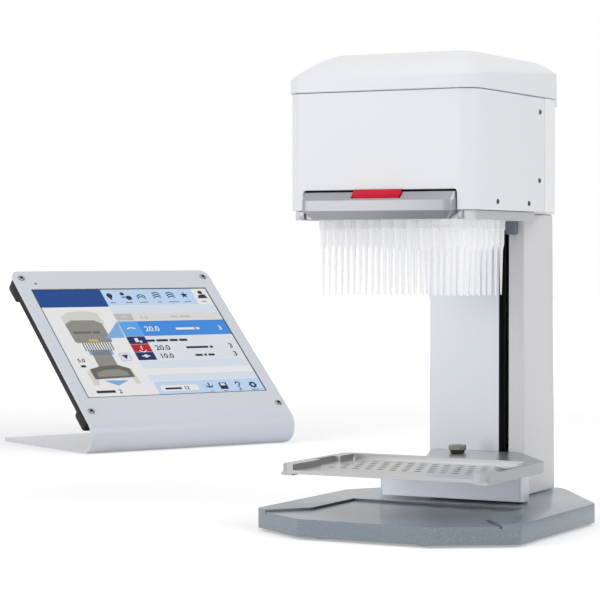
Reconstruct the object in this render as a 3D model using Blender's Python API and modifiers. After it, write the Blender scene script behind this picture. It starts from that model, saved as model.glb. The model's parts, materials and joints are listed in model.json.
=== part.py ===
"""A bench-top 96-channel pipetting unit with its touch console.

Lengths are in millimetres here, and the helpers turn them into metres. The frame used while
building has X and Y zero at the centre of the tip array and Z zero on the bench. At the end
everything moves together, so that the origin is the bottom centre of the whole set's box.
"""

import math

import bmesh
import bpy
import numpy as np
from mathutils import Matrix, Vector

MM = 0.001
GAP = 0.3
RUN = 0.3

# Tips and the labware that they serve
PITCH = 9.0
COLUMNS = 12
ROWS = 8
TIP_SIDES = 6
TIP_BODY_Z = 198.2
TIP_STEM_Z = 184.4
TIP_END_Z = 155.5
TIP_COLLAR_R = 2.9
TIP_BODY_R = 2.2
TIP_STEM_R = 1.1
TIP_END_R = 0.5
LABWARE_X = 127.76
LABWARE_Y = 85.48
LABWARE_PLAY = 0.5

# Base
BASE_HALF = 94.0
BASE_FRONT = -72.0
BASE_FRONT_HALF = 47.0
BASE_SIDE_FRONT = -41.0
BASE_SIDE_REAR = 89.0
BASE_TAIL_HALF = 44.0
BASE_TAIL = 164.0
BASE_REAR = 172.0
BASE_LOW = 1.5
BASE_TOP = 14.4
BASE_EDGE = 1.8
BASE_CORNER = 6.0
RECESS_DEPTH = 1.5
RECESS_GROOVE = 1.2
RECESS_GROOVE_DEPTH = 1.4
RECESS_HALF = 63.0
RECESS_REAR = 40.0
RECESS_FLARE_Y = -22.0
RECESS_MOUTH_HALF = 86.0
RECESS_MOUTH_Y = -50.0
FOOT_R = 8.0
FOOT_SINK = 1.1
FOOT_PLACES = ((-36.0, -55.0), (36.0, -55.0), (-34.0, 155.0), (34.0, 155.0))

# Column
COLUMN_HALF = 36.0
COLUMN_FRONT = 105.0
COLUMN_DEPTH = 57.0
COLUMN_TAPER = 5.0
COLUMN_WALL = 2.0
COLUMN_TOP = 209.9
SLOT_X = 20.55
SLOT_WIDTH = 7.5
FLANGE_RETURN = 5.0
PANEL_RETURN = 6.4
SEAL_GAP_HALF = 1.5
SEAL_THICK = 1.5
SEAL_REACH = 6.5
CAP_WIDTH = 7.4
CAP_DEPTH = 7.0
CAP_LOW = 195.5
CAP_SHIFT = 7.15

# Lift inside the column
ROD_X = 22.0
ROD_Y = 138.0
ROD_R = 5.0
SCREW_R = 4.0
NUT_R = 8.0
SPINE_HALF = 32.0
SPINE_WALL = 3.5
SPINE_REAR = 153.5
SPINE_SIDE_FRONT = 128.0
SPINE_FOOT_FRONT = 112.0
SPINE_FOOT_THICK = 5.3
CARRIAGE_HALF = 27.5
CARRIAGE_FRONT = 124.0
CARRIAGE_LOW_CLEAR = 0.6
CARRIAGE_HEIGHT = 24.0
ARM_THICK = 2.4
ARM_LOW = 21.5
ARM_HIGH = 33.0
ARM_GRIP = 6.0
COUPLING_R = 9.5
COUPLING_LOW = 203.0
COUPLING_HEIGHT = 18.0
SHAFT_R = 2.5
SHAFT_IN_MOTOR = 8.0
LIFT_MOTOR_SIDE = 42.3
LIFT_MOTOR_HEIGHT = 34.0
LIFT_TRAVEL = 105.0

# Stage
STAGE_HALF = 74.0
STAGE_FRONT = -46.0
STAGE_RIM_REAR = 49.5
STAGE_LOW = 37.6
STAGE_FLOOR_LOW = 38.7
STAGE_FLOOR = 41.2
STAGE_TOP = 45.0
STAGE_CORNER = 6.0
DECK_REAR_GAP = 1.0
DECK_RIGHT_HALF = 33.0
DECK_LEFT_AT_COLUMN = -34.0
DECK_LEFT_AT_RIM = -13.0
DECK_RIGHT_AT_RIM = 72.0
NOTCH_DEPTH = 5.0
NOTCH_LENGTH = 28.0
NOTCH_Y = 8.0
INSERT_HALF_X = 58.5
INSERT_LOW_Y = -24.0
INSERT_HIGH_Y = 41.0
INSERT_THICK = 1.0
INSERT_LEDGE = 2.5
HOLE_COLUMNS = 12
HOLE_ROWS = 5
HOLE_LONG = 2.6
HOLE_WIDE = 3.1
BRACKET_HALF = 53.7
BRACKET_FRONT = 60.0
BRACKET_SIDE = 10.5
BRACKET_TAIL_HALF = 38.0
BRACKET_REAR = 100.0
BRACKET_LOW = 15.7
BRACKET_WALL = 6.0
BRACKET_ROOF = 5.4
BRACKET_CORNER = 3.5
KNOB_X = -2.0
KNOB_Y = 77.0
KNOB_R = 6.1
KNOB_NECK_R = 5.0
KNOB_STEM_R = 2.0
KNOB_NECK_HEIGHT = 2.2
KNOB_HEIGHT = 5.6
KNOB_FLUTES = 10

# Head
CASE_BESIDE_DRAWER = 12.3
CASE_FRONT = -50.5
CASE_SEAM = 64.3
CASE_SIDE_END = 82.2
CASE_CORNER = 11.5
CASE_LOW = 210.2
CASE_HIGH = 286.0
CASE_WALL = 2.5
TAIL_HALF = 37.0
TAIL_Y = 136.0
TAIL_REAR = 163.0
MOUTH_PLAY = 0.4
MOUTH_HIGH = 223.2
LID_OVERHANG = 1.2
LID_WALL = 2.5
LID_BAND = 8.9
LID_BAND_RISE = 0.078
LID_BAND_FLAT_Y = 55.0
LID_RISE = 26.5
LID_TOP_FRONT = -18.0
LID_TOP_REAR = 150.0
LID_TOP_SHARE = 0.68
SIDE_R = 3.0
TAIL_R = 6.0
LID_SEAM_BAND = 1.0
PLATE_INSET = 2.4
PLATE_FRONT = -47.6
PLATE_REAR = 54.5
PLATE_LOW = 204.1
PLATE_HIGH = 209.9
PLATE_CORNER = 8.0
FRAME_LOW = 223.0
FRAME_THICK = 6.0
FRAME_CLEAR = 2.5
TAIL_HEM = 1.0

# Drawer, tip rack, handle and latch
DRAWER_RAIL = 1.6
DRAWER_TONGUE = 2.3
DRAWER_LOW = 204.5
DRAWER_HIGH = 209.6
TONGUE_LOW = 206.2
TONGUE_HIGH = 208.2
EAR_REACH = 3.2
EAR_THICK = 1.5
DRAWER_REAR = 50.2
WINDOW_MARGIN_X = 3.6
WINDOW_MARGIN_Y = 3.5
RACK_LIP = 3.5
RACK_LOW = 206.6
RACK_THICK = 8.0
HANDLE_SET_IN = 0.8
HANDLE_FOOT_INSET = 6.4
HANDLE_CORNER = 6.3
HANDLE_REACH = 6.5
HANDLE_UNDER = 5.6
HANDLE_SLAB = 3.0
HANDLE_HIGH = 221.8
HANDLE_FACE_LOW = 209.8
HANDLE_FACE_HIGH = 216.4
BUTTON_HALF = 17.2
BUTTON_DEPTH = 4.1
BUTTON_PROUD = 1.7
BUTTON_LOW = 217.4
BUTTON_TRAVEL = 2.0
SPRING_R = 1.0
SPRING_WIRE_R = 0.2
SPRING_TURNS = 4
SPRING_LENGTH = 7.2
SPRING_SOCKET = 3.0
DRAWER_TRAVEL = 88.0

# Liquid drive inside the head
GASKET_THICK = 1.4
BLOCK_HALF_X = 55.0
BLOCK_HALF_Y = 38.0
BLOCK_HIGH = 250.0
BLOCK_FLANGE = 4.5
BLOCK_FLANGE_THICK = 3.2
PISTON_PLATE_LOW = 262.0
PISTON_PLATE_THICK = 6.0
PISTON_TRAVEL = 10.0
POST_X = 46.0
POST_Y = 28.0
POST_R = 3.0
TOP_PLATE_LOW = 272.0
TOP_PLATE_THICK = 3.0
PISTON_SCREW_R = 3.0
PISTON_NUT_R = 7.0
PISTON_NUT_FLANGE_R = 11.0
PISTON_MOTOR_SIDE = 42.0
PISTON_MOTOR_HEIGHT = 30.0
PISTON_SHAFT_IN_MOTOR = 10.0
PISTON_SCREW_SINK = 10.0
BOARD_HALF = 50.0
BOARD_Y = 70.0
BOARD_THICK = 1.6
BOARD_HIGH = 282.0
INLET_X = 18.0
INLET_Z = 274.0
INLET_R = 5.4
INLET_FLANGE_R = 7.6
INLET_BORE_R = 3.2
INLET_PIN_R = 1.0
INLET_DEPTH = 12.0

# Console
CONSOLE_X = -454.0
CONSOLE_Y = 469.0
CONSOLE_TURN = math.radians(62.4)
CONSOLE_WIDTH = 221.0
CONSOLE_SLOPE = 207.0
CONSOLE_TILT = math.radians(49.0)
CONSOLE_BEND_R = 16.2
CONSOLE_SHEET = 3.0
CONSOLE_FOOT = 164.0
CONSOLE_CORNER = 8.0
SCREEN_WIDTH = 196.0
SCREEN_HEIGHT = 149.0
SCREEN_LOW = 32.0
SCREEN_THICK = 1.6
SCREEN_SINK = 0.7
CASE_MARGIN = 0.6
TABLET_THICK = 8.0
TABLET_LOW = 4.5
TABLET_TOP_MARGIN = 6.5
BUMPER_SIDE = 21.0
BUMPER_THICK = 13.0
SCREW_SIDE = 8.0
SCREW_END_LOW = 14.5
SCREW_END_HIGH = 10.0
SCREW_HEAD_R = 3.0
SCREW_SHANK_R = 1.4
SCREW_PROUD = 1.0

ARRAY_HALF_X = PITCH * (COLUMNS - 1) / 2
ARRAY_HALF_Y = PITCH * (ROWS - 1) / 2
COLUMN_REAR = COLUMN_FRONT + COLUMN_DEPTH
WINDOW_HALF_X = ARRAY_HALF_X + WINDOW_MARGIN_X
WINDOW_HALF_Y = ARRAY_HALF_Y + WINDOW_MARGIN_Y
RACK_HALF_Y = WINDOW_HALF_Y + RACK_LIP
DRAWER_HALF = WINDOW_HALF_X + DRAWER_RAIL
HANDLE_HALF = DRAWER_HALF - HANDLE_SET_IN
HANDLE_FOOT_HALF = HANDLE_HALF - HANDLE_FOOT_INSET
MOUTH_HALF = HANDLE_HALF + MOUTH_PLAY
CASE_HALF = DRAWER_HALF + CASE_BESIDE_DRAWER
PLATE_HALF = CASE_HALF - PLATE_INSET
FRAME_HALF = CASE_HALF - CASE_WALL - FRAME_CLEAR
FRAME_FRONT = CASE_FRONT + CASE_WALL + FRAME_CLEAR + 1.5
FRAME_TAIL_HALF = TAIL_HALF - CASE_WALL - FRAME_CLEAR
SLOT_LEFT = SLOT_X - SLOT_WIDTH / 2
SLOT_RIGHT = SLOT_X + SLOT_WIDTH / 2
FRAME_HIGH = FRAME_LOW + FRAME_THICK
SPINE_LOW = BASE_TOP + GAP
SPINE_HIGH = FRAME_LOW - GAP
SPINE_FOOT_HIGH = SPINE_LOW + SPINE_FOOT_THICK
CARRIAGE_LOW = SPINE_FOOT_HIGH + CARRIAGE_LOW_CLEAR
CARRIAGE_REAR = SPINE_REAR - SPINE_WALL - 2 * RUN
BRACKET_HIGH = STAGE_FLOOR_LOW - GAP
LID_LOW = CASE_HIGH + GAP
LID_TOP = LID_LOW + LID_RISE
LID_HALF = CASE_HALF + LID_OVERHANG
LID_FRONT = CASE_FRONT - LID_OVERHANG
LABWARE_HALF_X = LABWARE_X / 2 + LABWARE_PLAY
LABWARE_HALF_Y = LABWARE_Y / 2 + LABWARE_PLAY
GASKET_LOW = RACK_LOW + RACK_THICK + RUN
BLOCK_LOW = GASKET_LOW + GASKET_THICK + GAP
TOP_PLATE_HIGH = TOP_PLATE_LOW + TOP_PLATE_THICK
HANDLE_BACK = CASE_FRONT - GAP + HANDLE_SLAB
HANDLE_BASE = CASE_FRONT - GAP
HANDLE_NOSE = HANDLE_BASE - HANDLE_REACH


def collection(name):
    made = bpy.data.collections.new(name)
    bpy.context.scene.collection.children.link(made)
    return made


def clear_scene():
    for obj in list(bpy.data.objects):
        bpy.data.objects.remove(obj, do_unlink=True)


clear_scene()
PARTS = collection("pipetting_unit")
TOOLS = collection("cutters")


def paint(name, colour, roughness, metallic=0.0, alpha=1.0):
    """A plain Principled material."""
    made = bpy.data.materials.new(name)
    made.use_nodes = True
    shader = made.node_tree.nodes["Principled BSDF"]
    shader.inputs["Base Color"].default_value = (*colour, 1.0)
    shader.inputs["Roughness"].default_value = roughness
    shader.inputs["Metallic"].default_value = metallic
    shader.inputs["Alpha"].default_value = alpha
    made.diffuse_color = (*colour, alpha)
    return made


WHITE = paint("white_enamel", (0.83, 0.84, 0.86), 0.38)
SILVER = paint("satin_aluminium", (0.62, 0.63, 0.64), 0.35, 0.9)
SPECKLED = paint("speckled_grey", (0.24, 0.28, 0.31), 0.6)
STEEL = paint("bright_steel", (0.6, 0.6, 0.6), 0.25, 1.0)
BLACK = paint("black_plastic", (0.02, 0.02, 0.022), 0.5)
DARK = paint("dark_plastic", (0.12, 0.14, 0.15), 0.55)
RED = paint("red_plastic", (0.6, 0.03, 0.07), 0.35)
CLEAR = paint("clear_polypropylene", (0.9, 0.92, 0.93), 0.15, 0.0, 0.4)
RUBBER = paint("black_rubber", (0.03, 0.03, 0.03), 0.8)
BOARD = paint("board_green", (0.03, 0.22, 0.12), 0.5)
GLASS = paint("display_glass", (0.5, 0.65, 0.85), 0.1)
LAVENDER = paint("pale_grey_enamel", (0.66, 0.67, 0.72), 0.45)
BRASS = paint("bronze", (0.6, 0.42, 0.18), 0.4, 1.0)


def adopt(mesh, name, material, home=None):
    """A new object that holds the mesh, in the parts collection unless another is named."""
    obj = bpy.data.objects.new(name, mesh)
    (home or PARTS).objects.link(obj)
    if material:
        mesh.materials.clear()
        mesh.materials.append(material)
    return obj


def from_bmesh(shape, name, material=None, home=None):
    bmesh.ops.recalc_face_normals(shape, faces=shape.faces)
    mesh = bpy.data.meshes.new(name)
    shape.to_mesh(mesh)
    shape.free()
    return adopt(mesh, name, material, home)


def box(name, low, high, material=None, home=None, edge=0.0):
    """An upright box between two corners, with its edges bevelled by edge."""
    shape = bmesh.new()
    bmesh.ops.create_cube(shape, size=1.0)
    size = Vector(high) - Vector(low)
    centre = (Vector(high) + Vector(low)) / 2
    bmesh.ops.scale(shape, vec=size * MM, verts=shape.verts)
    bmesh.ops.translate(shape, vec=centre * MM, verts=shape.verts)
    obj = from_bmesh(shape, name, material, home)
    if edge:
        soften(obj, edge)
    return obj


def cylinder(name, radius, low, high, place=(0.0, 0.0), material=None, home=None, sides=24):
    """An upright round bar from height low to height high."""
    shape = bmesh.new()
    bmesh.ops.create_cone(
        shape,
        cap_ends=True,
        segments=sides,
        radius1=radius * MM,
        radius2=radius * MM,
        depth=(high - low) * MM,
    )
    middle = Vector((place[0], place[1], (low + high) / 2))
    bmesh.ops.translate(shape, vec=middle * MM, verts=shape.verts)
    obj = from_bmesh(shape, name, material, home)
    obj.data.shade_smooth()
    obj.data.set_sharp_from_angle(angle=math.radians(40))
    return obj


def turned(name, profile, place=(0.0, 0.0), material=None, home=None, sides=24):
    """A profile of (radius, height) points, from the top down, spun about an upright axis."""
    mesh = bpy.data.meshes.new(name)
    points = [(radius * MM, 0.0, height * MM) for radius, height in profile]
    edges = [(i, i + 1) for i in range(len(points) - 1)]
    mesh.from_pydata(points, edges, [])
    raw = adopt(mesh, name + "_profile", None, TOOLS)
    spin = raw.modifiers.new("spin", "SCREW")
    spin.steps = sides
    spin.render_steps = sides
    spin.use_merge_vertices = True
    spin.merge_threshold = 0.00001
    spin.use_normal_calculate = True
    solid = solid_copy(raw, name, material, home)
    solid.location = Vector((place[0], place[1], 0.0)) * MM
    solid.data.shade_smooth()
    solid.data.set_sharp_from_angle(angle=math.radians(40))
    return solid


def solid_copy(raw, name, material=None, home=None):
    """The evaluated mesh of a helper as a new welded object; the helper is removed."""
    bpy.context.view_layer.update()
    graph = bpy.context.evaluated_depsgraph_get()
    mesh = bpy.data.meshes.new_from_object(raw.evaluated_get(graph))
    shape = bmesh.new()
    shape.from_mesh(mesh)
    bmesh.ops.remove_doubles(shape, verts=shape.verts, dist=1e-6)
    bmesh.ops.dissolve_degenerate(shape, edges=shape.edges, dist=1e-7)
    bmesh.ops.recalc_face_normals(shape, faces=shape.faces)
    mesh.clear_geometry()
    shape.to_mesh(mesh)
    shape.free()
    mesh.name = name
    place = raw.matrix_world.copy()
    bpy.data.objects.remove(raw, do_unlink=True)
    obj = adopt(mesh, name, material, home)
    obj.matrix_world = place
    return obj


def prism(name, outline, low, high, material=None, home=None, holes=()):
    """A flat outline, with holes, extruded from height low to height high."""
    curve = bpy.data.curves.new(name + "_outline", "CURVE")
    curve.dimensions = "2D"
    curve.fill_mode = "BOTH"
    curve.extrude = (high - low) / 2 * MM
    for loop in (outline, *holes):
        spline = curve.splines.new("POLY")
        spline.points.add(len(loop) - 1)
        spline.use_cyclic_u = True
        for point, (x, y) in zip(spline.points, loop):
            point.co = (x * MM, y * MM, 0.0, 1.0)
    raw = bpy.data.objects.new(name + "_outline", curve)
    TOOLS.objects.link(raw)
    raw.location = (0.0, 0.0, (low + high) / 2 * MM)
    solid = solid_copy(raw, name, material, home)
    shift = solid.location.copy()
    solid.data.transform(Matrix.Translation(shift))
    solid.location = (0.0, 0.0, 0.0)
    return solid


def loft(name, rings, material=None, home=None, cap_low=True, cap_high=True):
    """A skin through rings that have the same number of points each."""
    shape = bmesh.new()
    rows = [[shape.verts.new(Vector(point) * MM) for point in ring] for ring in rings]
    count = len(rings[0])
    for low, high in zip(rows, rows[1:]):
        for i in range(count):
            j = (i + 1) % count
            shape.faces.new((low[i], low[j], high[j], high[i]))
    if cap_low:
        shape.faces.new(list(reversed(rows[0])))
    if cap_high:
        shape.faces.new(rows[-1])
    return from_bmesh(shape, name, material, home)


def soften(obj, width, segments=2, angle=35.0):
    """Rounded edges."""
    bevel = obj.modifiers.new("edges", "BEVEL")
    bevel.width = width * MM
    bevel.segments = segments
    bevel.limit_method = "ANGLE"
    bevel.angle_limit = math.radians(angle)
    return obj


def as_helper(helper, target):
    """Hides a shaping helper from renders and hangs it on the piece that it shapes."""
    helper.hide_render = True
    helper.display_type = "WIRE"
    if helper.parent is None:
        helper.parent = target
        helper.location = helper.location - target.location


def cut(target, cutter):
    """Takes the cutter's shape out of the target."""
    as_helper(cutter, target)
    step = target.modifiers.new("cut", "BOOLEAN")
    step.operation = "DIFFERENCE"
    step.solver = "EXACT"
    step.object = cutter
    return target


def fuse(target, other):
    """Adds another shape to the target, as one body."""
    as_helper(other, target)
    step = target.modifiers.new("fuse", "BOOLEAN")
    step.operation = "UNION"
    step.solver = "EXACT"
    step.object = other
    return target


def bore(target, radius, low, high, place=(0.0, 0.0), sides=24):
    tool = cylinder(target.name + "_bore", radius, low, high, place, None, TOOLS, sides)
    return cut(target, tool)


def mirrored_x(points):
    """A left-right symmetric outline from its right half, listed from front to rear."""
    return points + [(-x, y) for x, y in reversed(points)]


def rounded(points, radii, segments=5, closed=True):
    """The polyline with an arc of the given radius at each corner; a radius of 0 stays sharp."""
    made = []
    count = len(points)
    for i, (x, y) in enumerate(points):
        radius = radii[i] if isinstance(radii, (list, tuple)) else radii
        end = not closed and i in (0, count - 1)
        if not radius or end:
            made.append((x, y))
            continue
        corner = Vector((x, y))
        back = (Vector(points[i - 1]) - corner).normalized()
        ahead = (Vector(points[(i + 1) % count]) - corner).normalized()
        half = back.angle(ahead) / 2
        reach = radius / math.tan(half)
        centre = corner + (back + ahead).normalized() * radius / math.sin(half)
        start = corner + back * reach - centre
        stop = corner + ahead * reach - centre
        sweep = start.angle_signed(stop)
        for k in range(segments + 1):
            turn = Matrix.Rotation(-sweep * k / segments, 2)
            made.append(tuple(centre + turn @ start))
    return made


def wall_outline(path, thick):
    """The closed outline of a wall whose outer side is the open path, with the wall on its left."""
    inner = []
    for i, point in enumerate(path):
        here = Vector(point)
        before = (here - Vector(path[i - 1])).normalized() if i else None
        after = (Vector(path[i + 1]) - here).normalized() if i + 1 < len(path) else None
        sides = [Vector((-run.y, run.x)) for run in (before, after) if run is not None]
        mitre = sum(sides, Vector((0.0, 0.0))).normalized()
        inner.append(tuple(here + mitre * thick / mitre.dot(sides[0])))
    return list(path) + list(reversed(inner))


def empty(name, place, parent=None, turn=(0.0, 0.0, 0.0)):
    made = bpy.data.objects.new(name, None)
    made.empty_display_size = 0.02
    PARTS.objects.link(made)
    made.location = Vector(place) * MM
    made.rotation_euler = turn
    made.parent = parent
    return made


def carry(parent, *objects):
    """Hangs objects that were modelled in the unit's frame on an empty of that frame."""
    for obj in objects:
        obj.parent = parent
        obj.location = obj.location - parent.location
    return objects


def base_outline():
    return mirrored_x(
        [
            (BASE_FRONT_HALF, BASE_FRONT),
            (BASE_HALF, BASE_SIDE_FRONT),
            (BASE_HALF, BASE_SIDE_REAR),
            (BASE_TAIL_HALF, BASE_TAIL),
            (BASE_TAIL_HALF - 8.0, BASE_REAR),
        ]
    )


def make_base():
    """The heavy painted base with its shallow front recess and four rubber feet."""
    outline = rounded(base_outline(), BASE_CORNER, 3)
    base = prism("base_plate", outline, BASE_LOW, BASE_TOP, SPECKLED)
    soften(base, BASE_EDGE, 2, 60.0)

    def recess_path(grow):
        return mirrored_x(
            [
                (RECESS_MOUTH_HALF + grow, BASE_FRONT - 10.0),
                (RECESS_MOUTH_HALF + grow, RECESS_MOUTH_Y),
                (RECESS_HALF + grow, RECESS_FLARE_Y),
                (RECESS_HALF + grow, RECESS_REAR + grow),
            ]
        )

    floor = BASE_TOP - RECESS_DEPTH
    cut(base, prism("recess_cutter", recess_path(0.0), floor, BASE_TOP + 5.0, None, TOOLS))
    groove = wall_outline(recess_path(0.2), RECESS_GROOVE)
    groove_low = floor - RECESS_GROOVE_DEPTH
    cut(base, prism("groove_cutter", groove, groove_low, BASE_TOP + 5.0, None, TOOLS))
    made = [base]
    sides = ("left", "right")
    for i, (x, y) in enumerate(FOOT_PLACES):
        bore(base, FOOT_R + GAP, BASE_LOW - 3.0, BASE_LOW + FOOT_SINK, (x, y))
        name = f"foot_{'front' if i < 2 else 'rear'}_{sides[i % 2]}"
        made.append(cylinder(name, FOOT_R, 0.0, BASE_LOW + FOOT_SINK - GAP, (x, y), RUBBER))
    return made


def tapered_box(name, half, front, rear, taper, low, high, material=None, home=None):
    """An upright box whose rear face leans forwards by taper at the top."""
    rings = [
        [(half, front, low), (half, rear, low), (-half, rear, low), (-half, front, low)],
        [
            (half, front, high),
            (half, rear - taper, high),
            (-half, rear - taper, high),
            (-half, front, high),
        ],
    ]
    return loft(name, rings, material, home)


def make_column():
    """The column's side shell, its front panel with the slot beside it, and the slot's trim."""
    low = BASE_TOP + GAP
    shell = tapered_box(
        "column_shell", COLUMN_HALF, COLUMN_FRONT, COLUMN_REAR, COLUMN_TAPER, low, COLUMN_TOP, WHITE
    )
    soften(shell, 1.5, 3, 80.0)
    over = 10.0
    inner = tapered_box(
        "column_hollow",
        COLUMN_HALF - COLUMN_WALL,
        COLUMN_FRONT + COLUMN_WALL,
        COLUMN_REAR - COLUMN_WALL,
        COLUMN_TAPER,
        low - over,
        COLUMN_TOP + over,
        None,
        TOOLS,
    )
    cut(shell, inner)
    panel_back = COLUMN_FRONT + COLUMN_WALL + GAP
    cut(
        shell,
        box(
            "column_mouth",
            (-COLUMN_HALF - over, COLUMN_FRONT - over, low - over),
            (SLOT_RIGHT, panel_back, COLUMN_TOP + over),
            None,
            TOOLS,
        ),
    )
    seal_front = COLUMN_FRONT + COLUMN_WALL + FLANGE_RETURN
    fuse(
        shell,
        box(
            "flange_return",
            (SLOT_RIGHT, COLUMN_FRONT + COLUMN_WALL / 2, low),
            (SLOT_RIGHT + COLUMN_WALL, seal_front, COLUMN_TOP),
            None,
            TOOLS,
        ),
    )
    left_return = -COLUMN_HALF + COLUMN_WALL + GAP
    panel_path = [
        (left_return, COLUMN_FRONT + PANEL_RETURN),
        (left_return, COLUMN_FRONT + COLUMN_WALL),
        (-COLUMN_HALF, COLUMN_FRONT + COLUMN_WALL),
        (-COLUMN_HALF, COLUMN_FRONT),
        (SLOT_LEFT, COLUMN_FRONT),
        (SLOT_LEFT, seal_front),
        (SLOT_LEFT - COLUMN_WALL, seal_front),
        (SLOT_LEFT - COLUMN_WALL, COLUMN_FRONT + COLUMN_WALL),
        (left_return + COLUMN_WALL, COLUMN_FRONT + COLUMN_WALL),
        (left_return + COLUMN_WALL, COLUMN_FRONT + PANEL_RETURN),
    ]
    panel = prism("column_front_panel", panel_path, low, COLUMN_TOP, WHITE)
    seal_low = SPINE_FOOT_HIGH + GAP
    seals = []
    for side, name in ((-1, "slot_seal_left"), (1, "slot_seal_right")):
        near = SLOT_X + side * SEAL_GAP_HALF
        far = near + side * SEAL_REACH
        seals.append(
            box(
                name,
                (min(near, far), seal_front + GAP, seal_low),
                (max(near, far), seal_front + GAP + SEAL_THICK, COLUMN_TOP - 2.0),
                BLACK,
            )
        )
    cap_left = SLOT_X + CAP_SHIFT - CAP_WIDTH / 2
    cap = box(
        "slot_top_cap",
        (cap_left, COLUMN_FRONT - GAP - CAP_DEPTH, CAP_LOW),
        (cap_left + CAP_WIDTH, COLUMN_FRONT - GAP, COLUMN_TOP),
        DARK,
    )
    soften(cap, 1.2, 2)
    return [shell, panel, cap, *seals]


def make_lift():
    """The fixed spine, rods and motor, the turning screw and the carriage that rides on them."""
    spine_front = SPINE_SIDE_FRONT
    path = [
        (SPINE_HALF, spine_front),
        (SPINE_HALF, SPINE_REAR),
        (-SPINE_HALF, SPINE_REAR),
        (-SPINE_HALF, spine_front),
    ]
    spine = prism("column_spine", wall_outline(path, SPINE_WALL), SPINE_LOW, SPINE_HIGH, SILVER)
    fuse(
        spine,
        box(
            "spine_foot",
            (-SPINE_HALF, SPINE_FOOT_FRONT, SPINE_LOW),
            (SPINE_HALF, SPINE_REAR, SPINE_FOOT_HIGH),
            None,
            TOOLS,
        ),
    )
    bore(spine, NUT_R + GAP, SPINE_LOW - 5.0, SPINE_FOOT_HIGH + 5.0, (0.0, ROD_Y))
    fixed = [spine]
    for side, name in ((-1, "guide_rod_left"), (1, "guide_rod_right")):
        place = (side * ROD_X, ROD_Y)
        fixed.append(
            cylinder(name, ROD_R, SPINE_FOOT_HIGH + GAP, SPINE_HIGH, place, STEEL, sides=20)
        )
    bearing = turned(
        "screw_bearing",
        [
            (SCREW_R + RUN, SPINE_FOOT_HIGH),
            (NUT_R, SPINE_FOOT_HIGH),
            (NUT_R, SPINE_LOW),
            (SCREW_R + RUN, SPINE_LOW),
            (SCREW_R + RUN, SPINE_FOOT_HIGH),
        ],
        (0.0, ROD_Y),
        STEEL,
        sides=16,
    )
    fixed.append(bearing)
    half = LIFT_MOTOR_SIDE / 2
    motor_low = FRAME_HIGH + GAP
    motor = box(
        "lift_motor",
        (-half, ROD_Y - half, motor_low),
        (half, ROD_Y + half, motor_low + LIFT_MOTOR_HEIGHT),
        DARK,
        edge=2.0,
    )
    bore(motor, SHAFT_R + RUN, motor_low - 2.0, motor_low + SHAFT_IN_MOTOR + RUN, (0.0, ROD_Y), 16)
    fixed.append(motor)

    screw_high = COUPLING_LOW + COUPLING_HEIGHT / 3
    screw = cylinder("lift_screw", SCREW_R, SPINE_LOW, screw_high, (0.0, ROD_Y), STEEL)
    coupling_high = COUPLING_LOW + COUPLING_HEIGHT
    coupling = turned(
        "screw_coupling",
        [
            (0.0, motor_low + SHAFT_IN_MOTOR),
            (SHAFT_R, motor_low + SHAFT_IN_MOTOR),
            (SHAFT_R, coupling_high),
            (COUPLING_R, coupling_high),
            (COUPLING_R, COUPLING_LOW),
            (SCREW_R + RUN, COUPLING_LOW),
            (SCREW_R + RUN, screw_high + GAP),
            (0.0, screw_high + GAP),
        ],
        (0.0, ROD_Y),
        STEEL,
        sides=16,
    )

    carriage_high = CARRIAGE_LOW + CARRIAGE_HEIGHT
    carriage = box(
        "lift_carriage",
        (-CARRIAGE_HALF, CARRIAGE_FRONT, CARRIAGE_LOW),
        (CARRIAGE_HALF, CARRIAGE_REAR, carriage_high),
        SILVER,
        edge=1.0,
    )
    fuse(
        carriage,
        box(
            "stage_arm",
            (SLOT_X - ARM_THICK / 2, BRACKET_REAR - ARM_GRIP, ARM_LOW),
            (SLOT_X + ARM_THICK / 2, CARRIAGE_FRONT + 4.0, ARM_HIGH),
            None,
            TOOLS,
        ),
    )
    for side in (-1, 1):
        bore(carriage, ROD_R + RUN, CARRIAGE_LOW - 5, carriage_high + 5, (side * ROD_X, ROD_Y), 20)
    bore(carriage, NUT_R + GAP, CARRIAGE_LOW - 5.0, carriage_high + 5.0, (0.0, ROD_Y))
    nut_high = carriage_high + GAP + 3.0
    nut = turned(
        "lift_nut",
        [
            (SCREW_R + RUN, nut_high),
            (NUT_R + 4.0, nut_high),
            (NUT_R + 4.0, carriage_high + GAP),
            (NUT_R, carriage_high + GAP),
            (NUT_R, CARRIAGE_LOW),
            (SCREW_R + RUN, CARRIAGE_LOW),
            (SCREW_R + RUN, nut_high),
        ],
        (0.0, ROD_Y),
        BRASS,
        sides=16,
    )
    return fixed, [screw, coupling], [carriage, nut]


def stage_outline():
    """The tray's rectangle, with the deck that runs back from it to the column."""
    deck_rear = COLUMN_FRONT - DECK_REAR_GAP
    points = [
        (-STAGE_HALF, STAGE_FRONT),
        (STAGE_HALF, STAGE_FRONT),
        (STAGE_HALF, STAGE_RIM_REAR - 2.0),
        (DECK_RIGHT_HALF, deck_rear),
        (DECK_LEFT_AT_COLUMN, deck_rear),
        (DECK_LEFT_AT_RIM, STAGE_RIM_REAR),
        (-STAGE_HALF, STAGE_RIM_REAR),
    ]
    radii = [STAGE_CORNER, STAGE_CORNER, STAGE_CORNER, 8.0, 2.0, 0.0, STAGE_CORNER]
    return rounded(points, radii, 4)


def insert_outline(grow=0.0):
    return [
        (-INSERT_HALF_X - grow, INSERT_LOW_Y - grow),
        (INSERT_HALF_X + grow, INSERT_LOW_Y - grow),
        (INSERT_HALF_X + grow, INSERT_HIGH_Y + grow),
        (-INSERT_HALF_X - grow, INSERT_HIGH_Y + grow),
    ]


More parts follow.
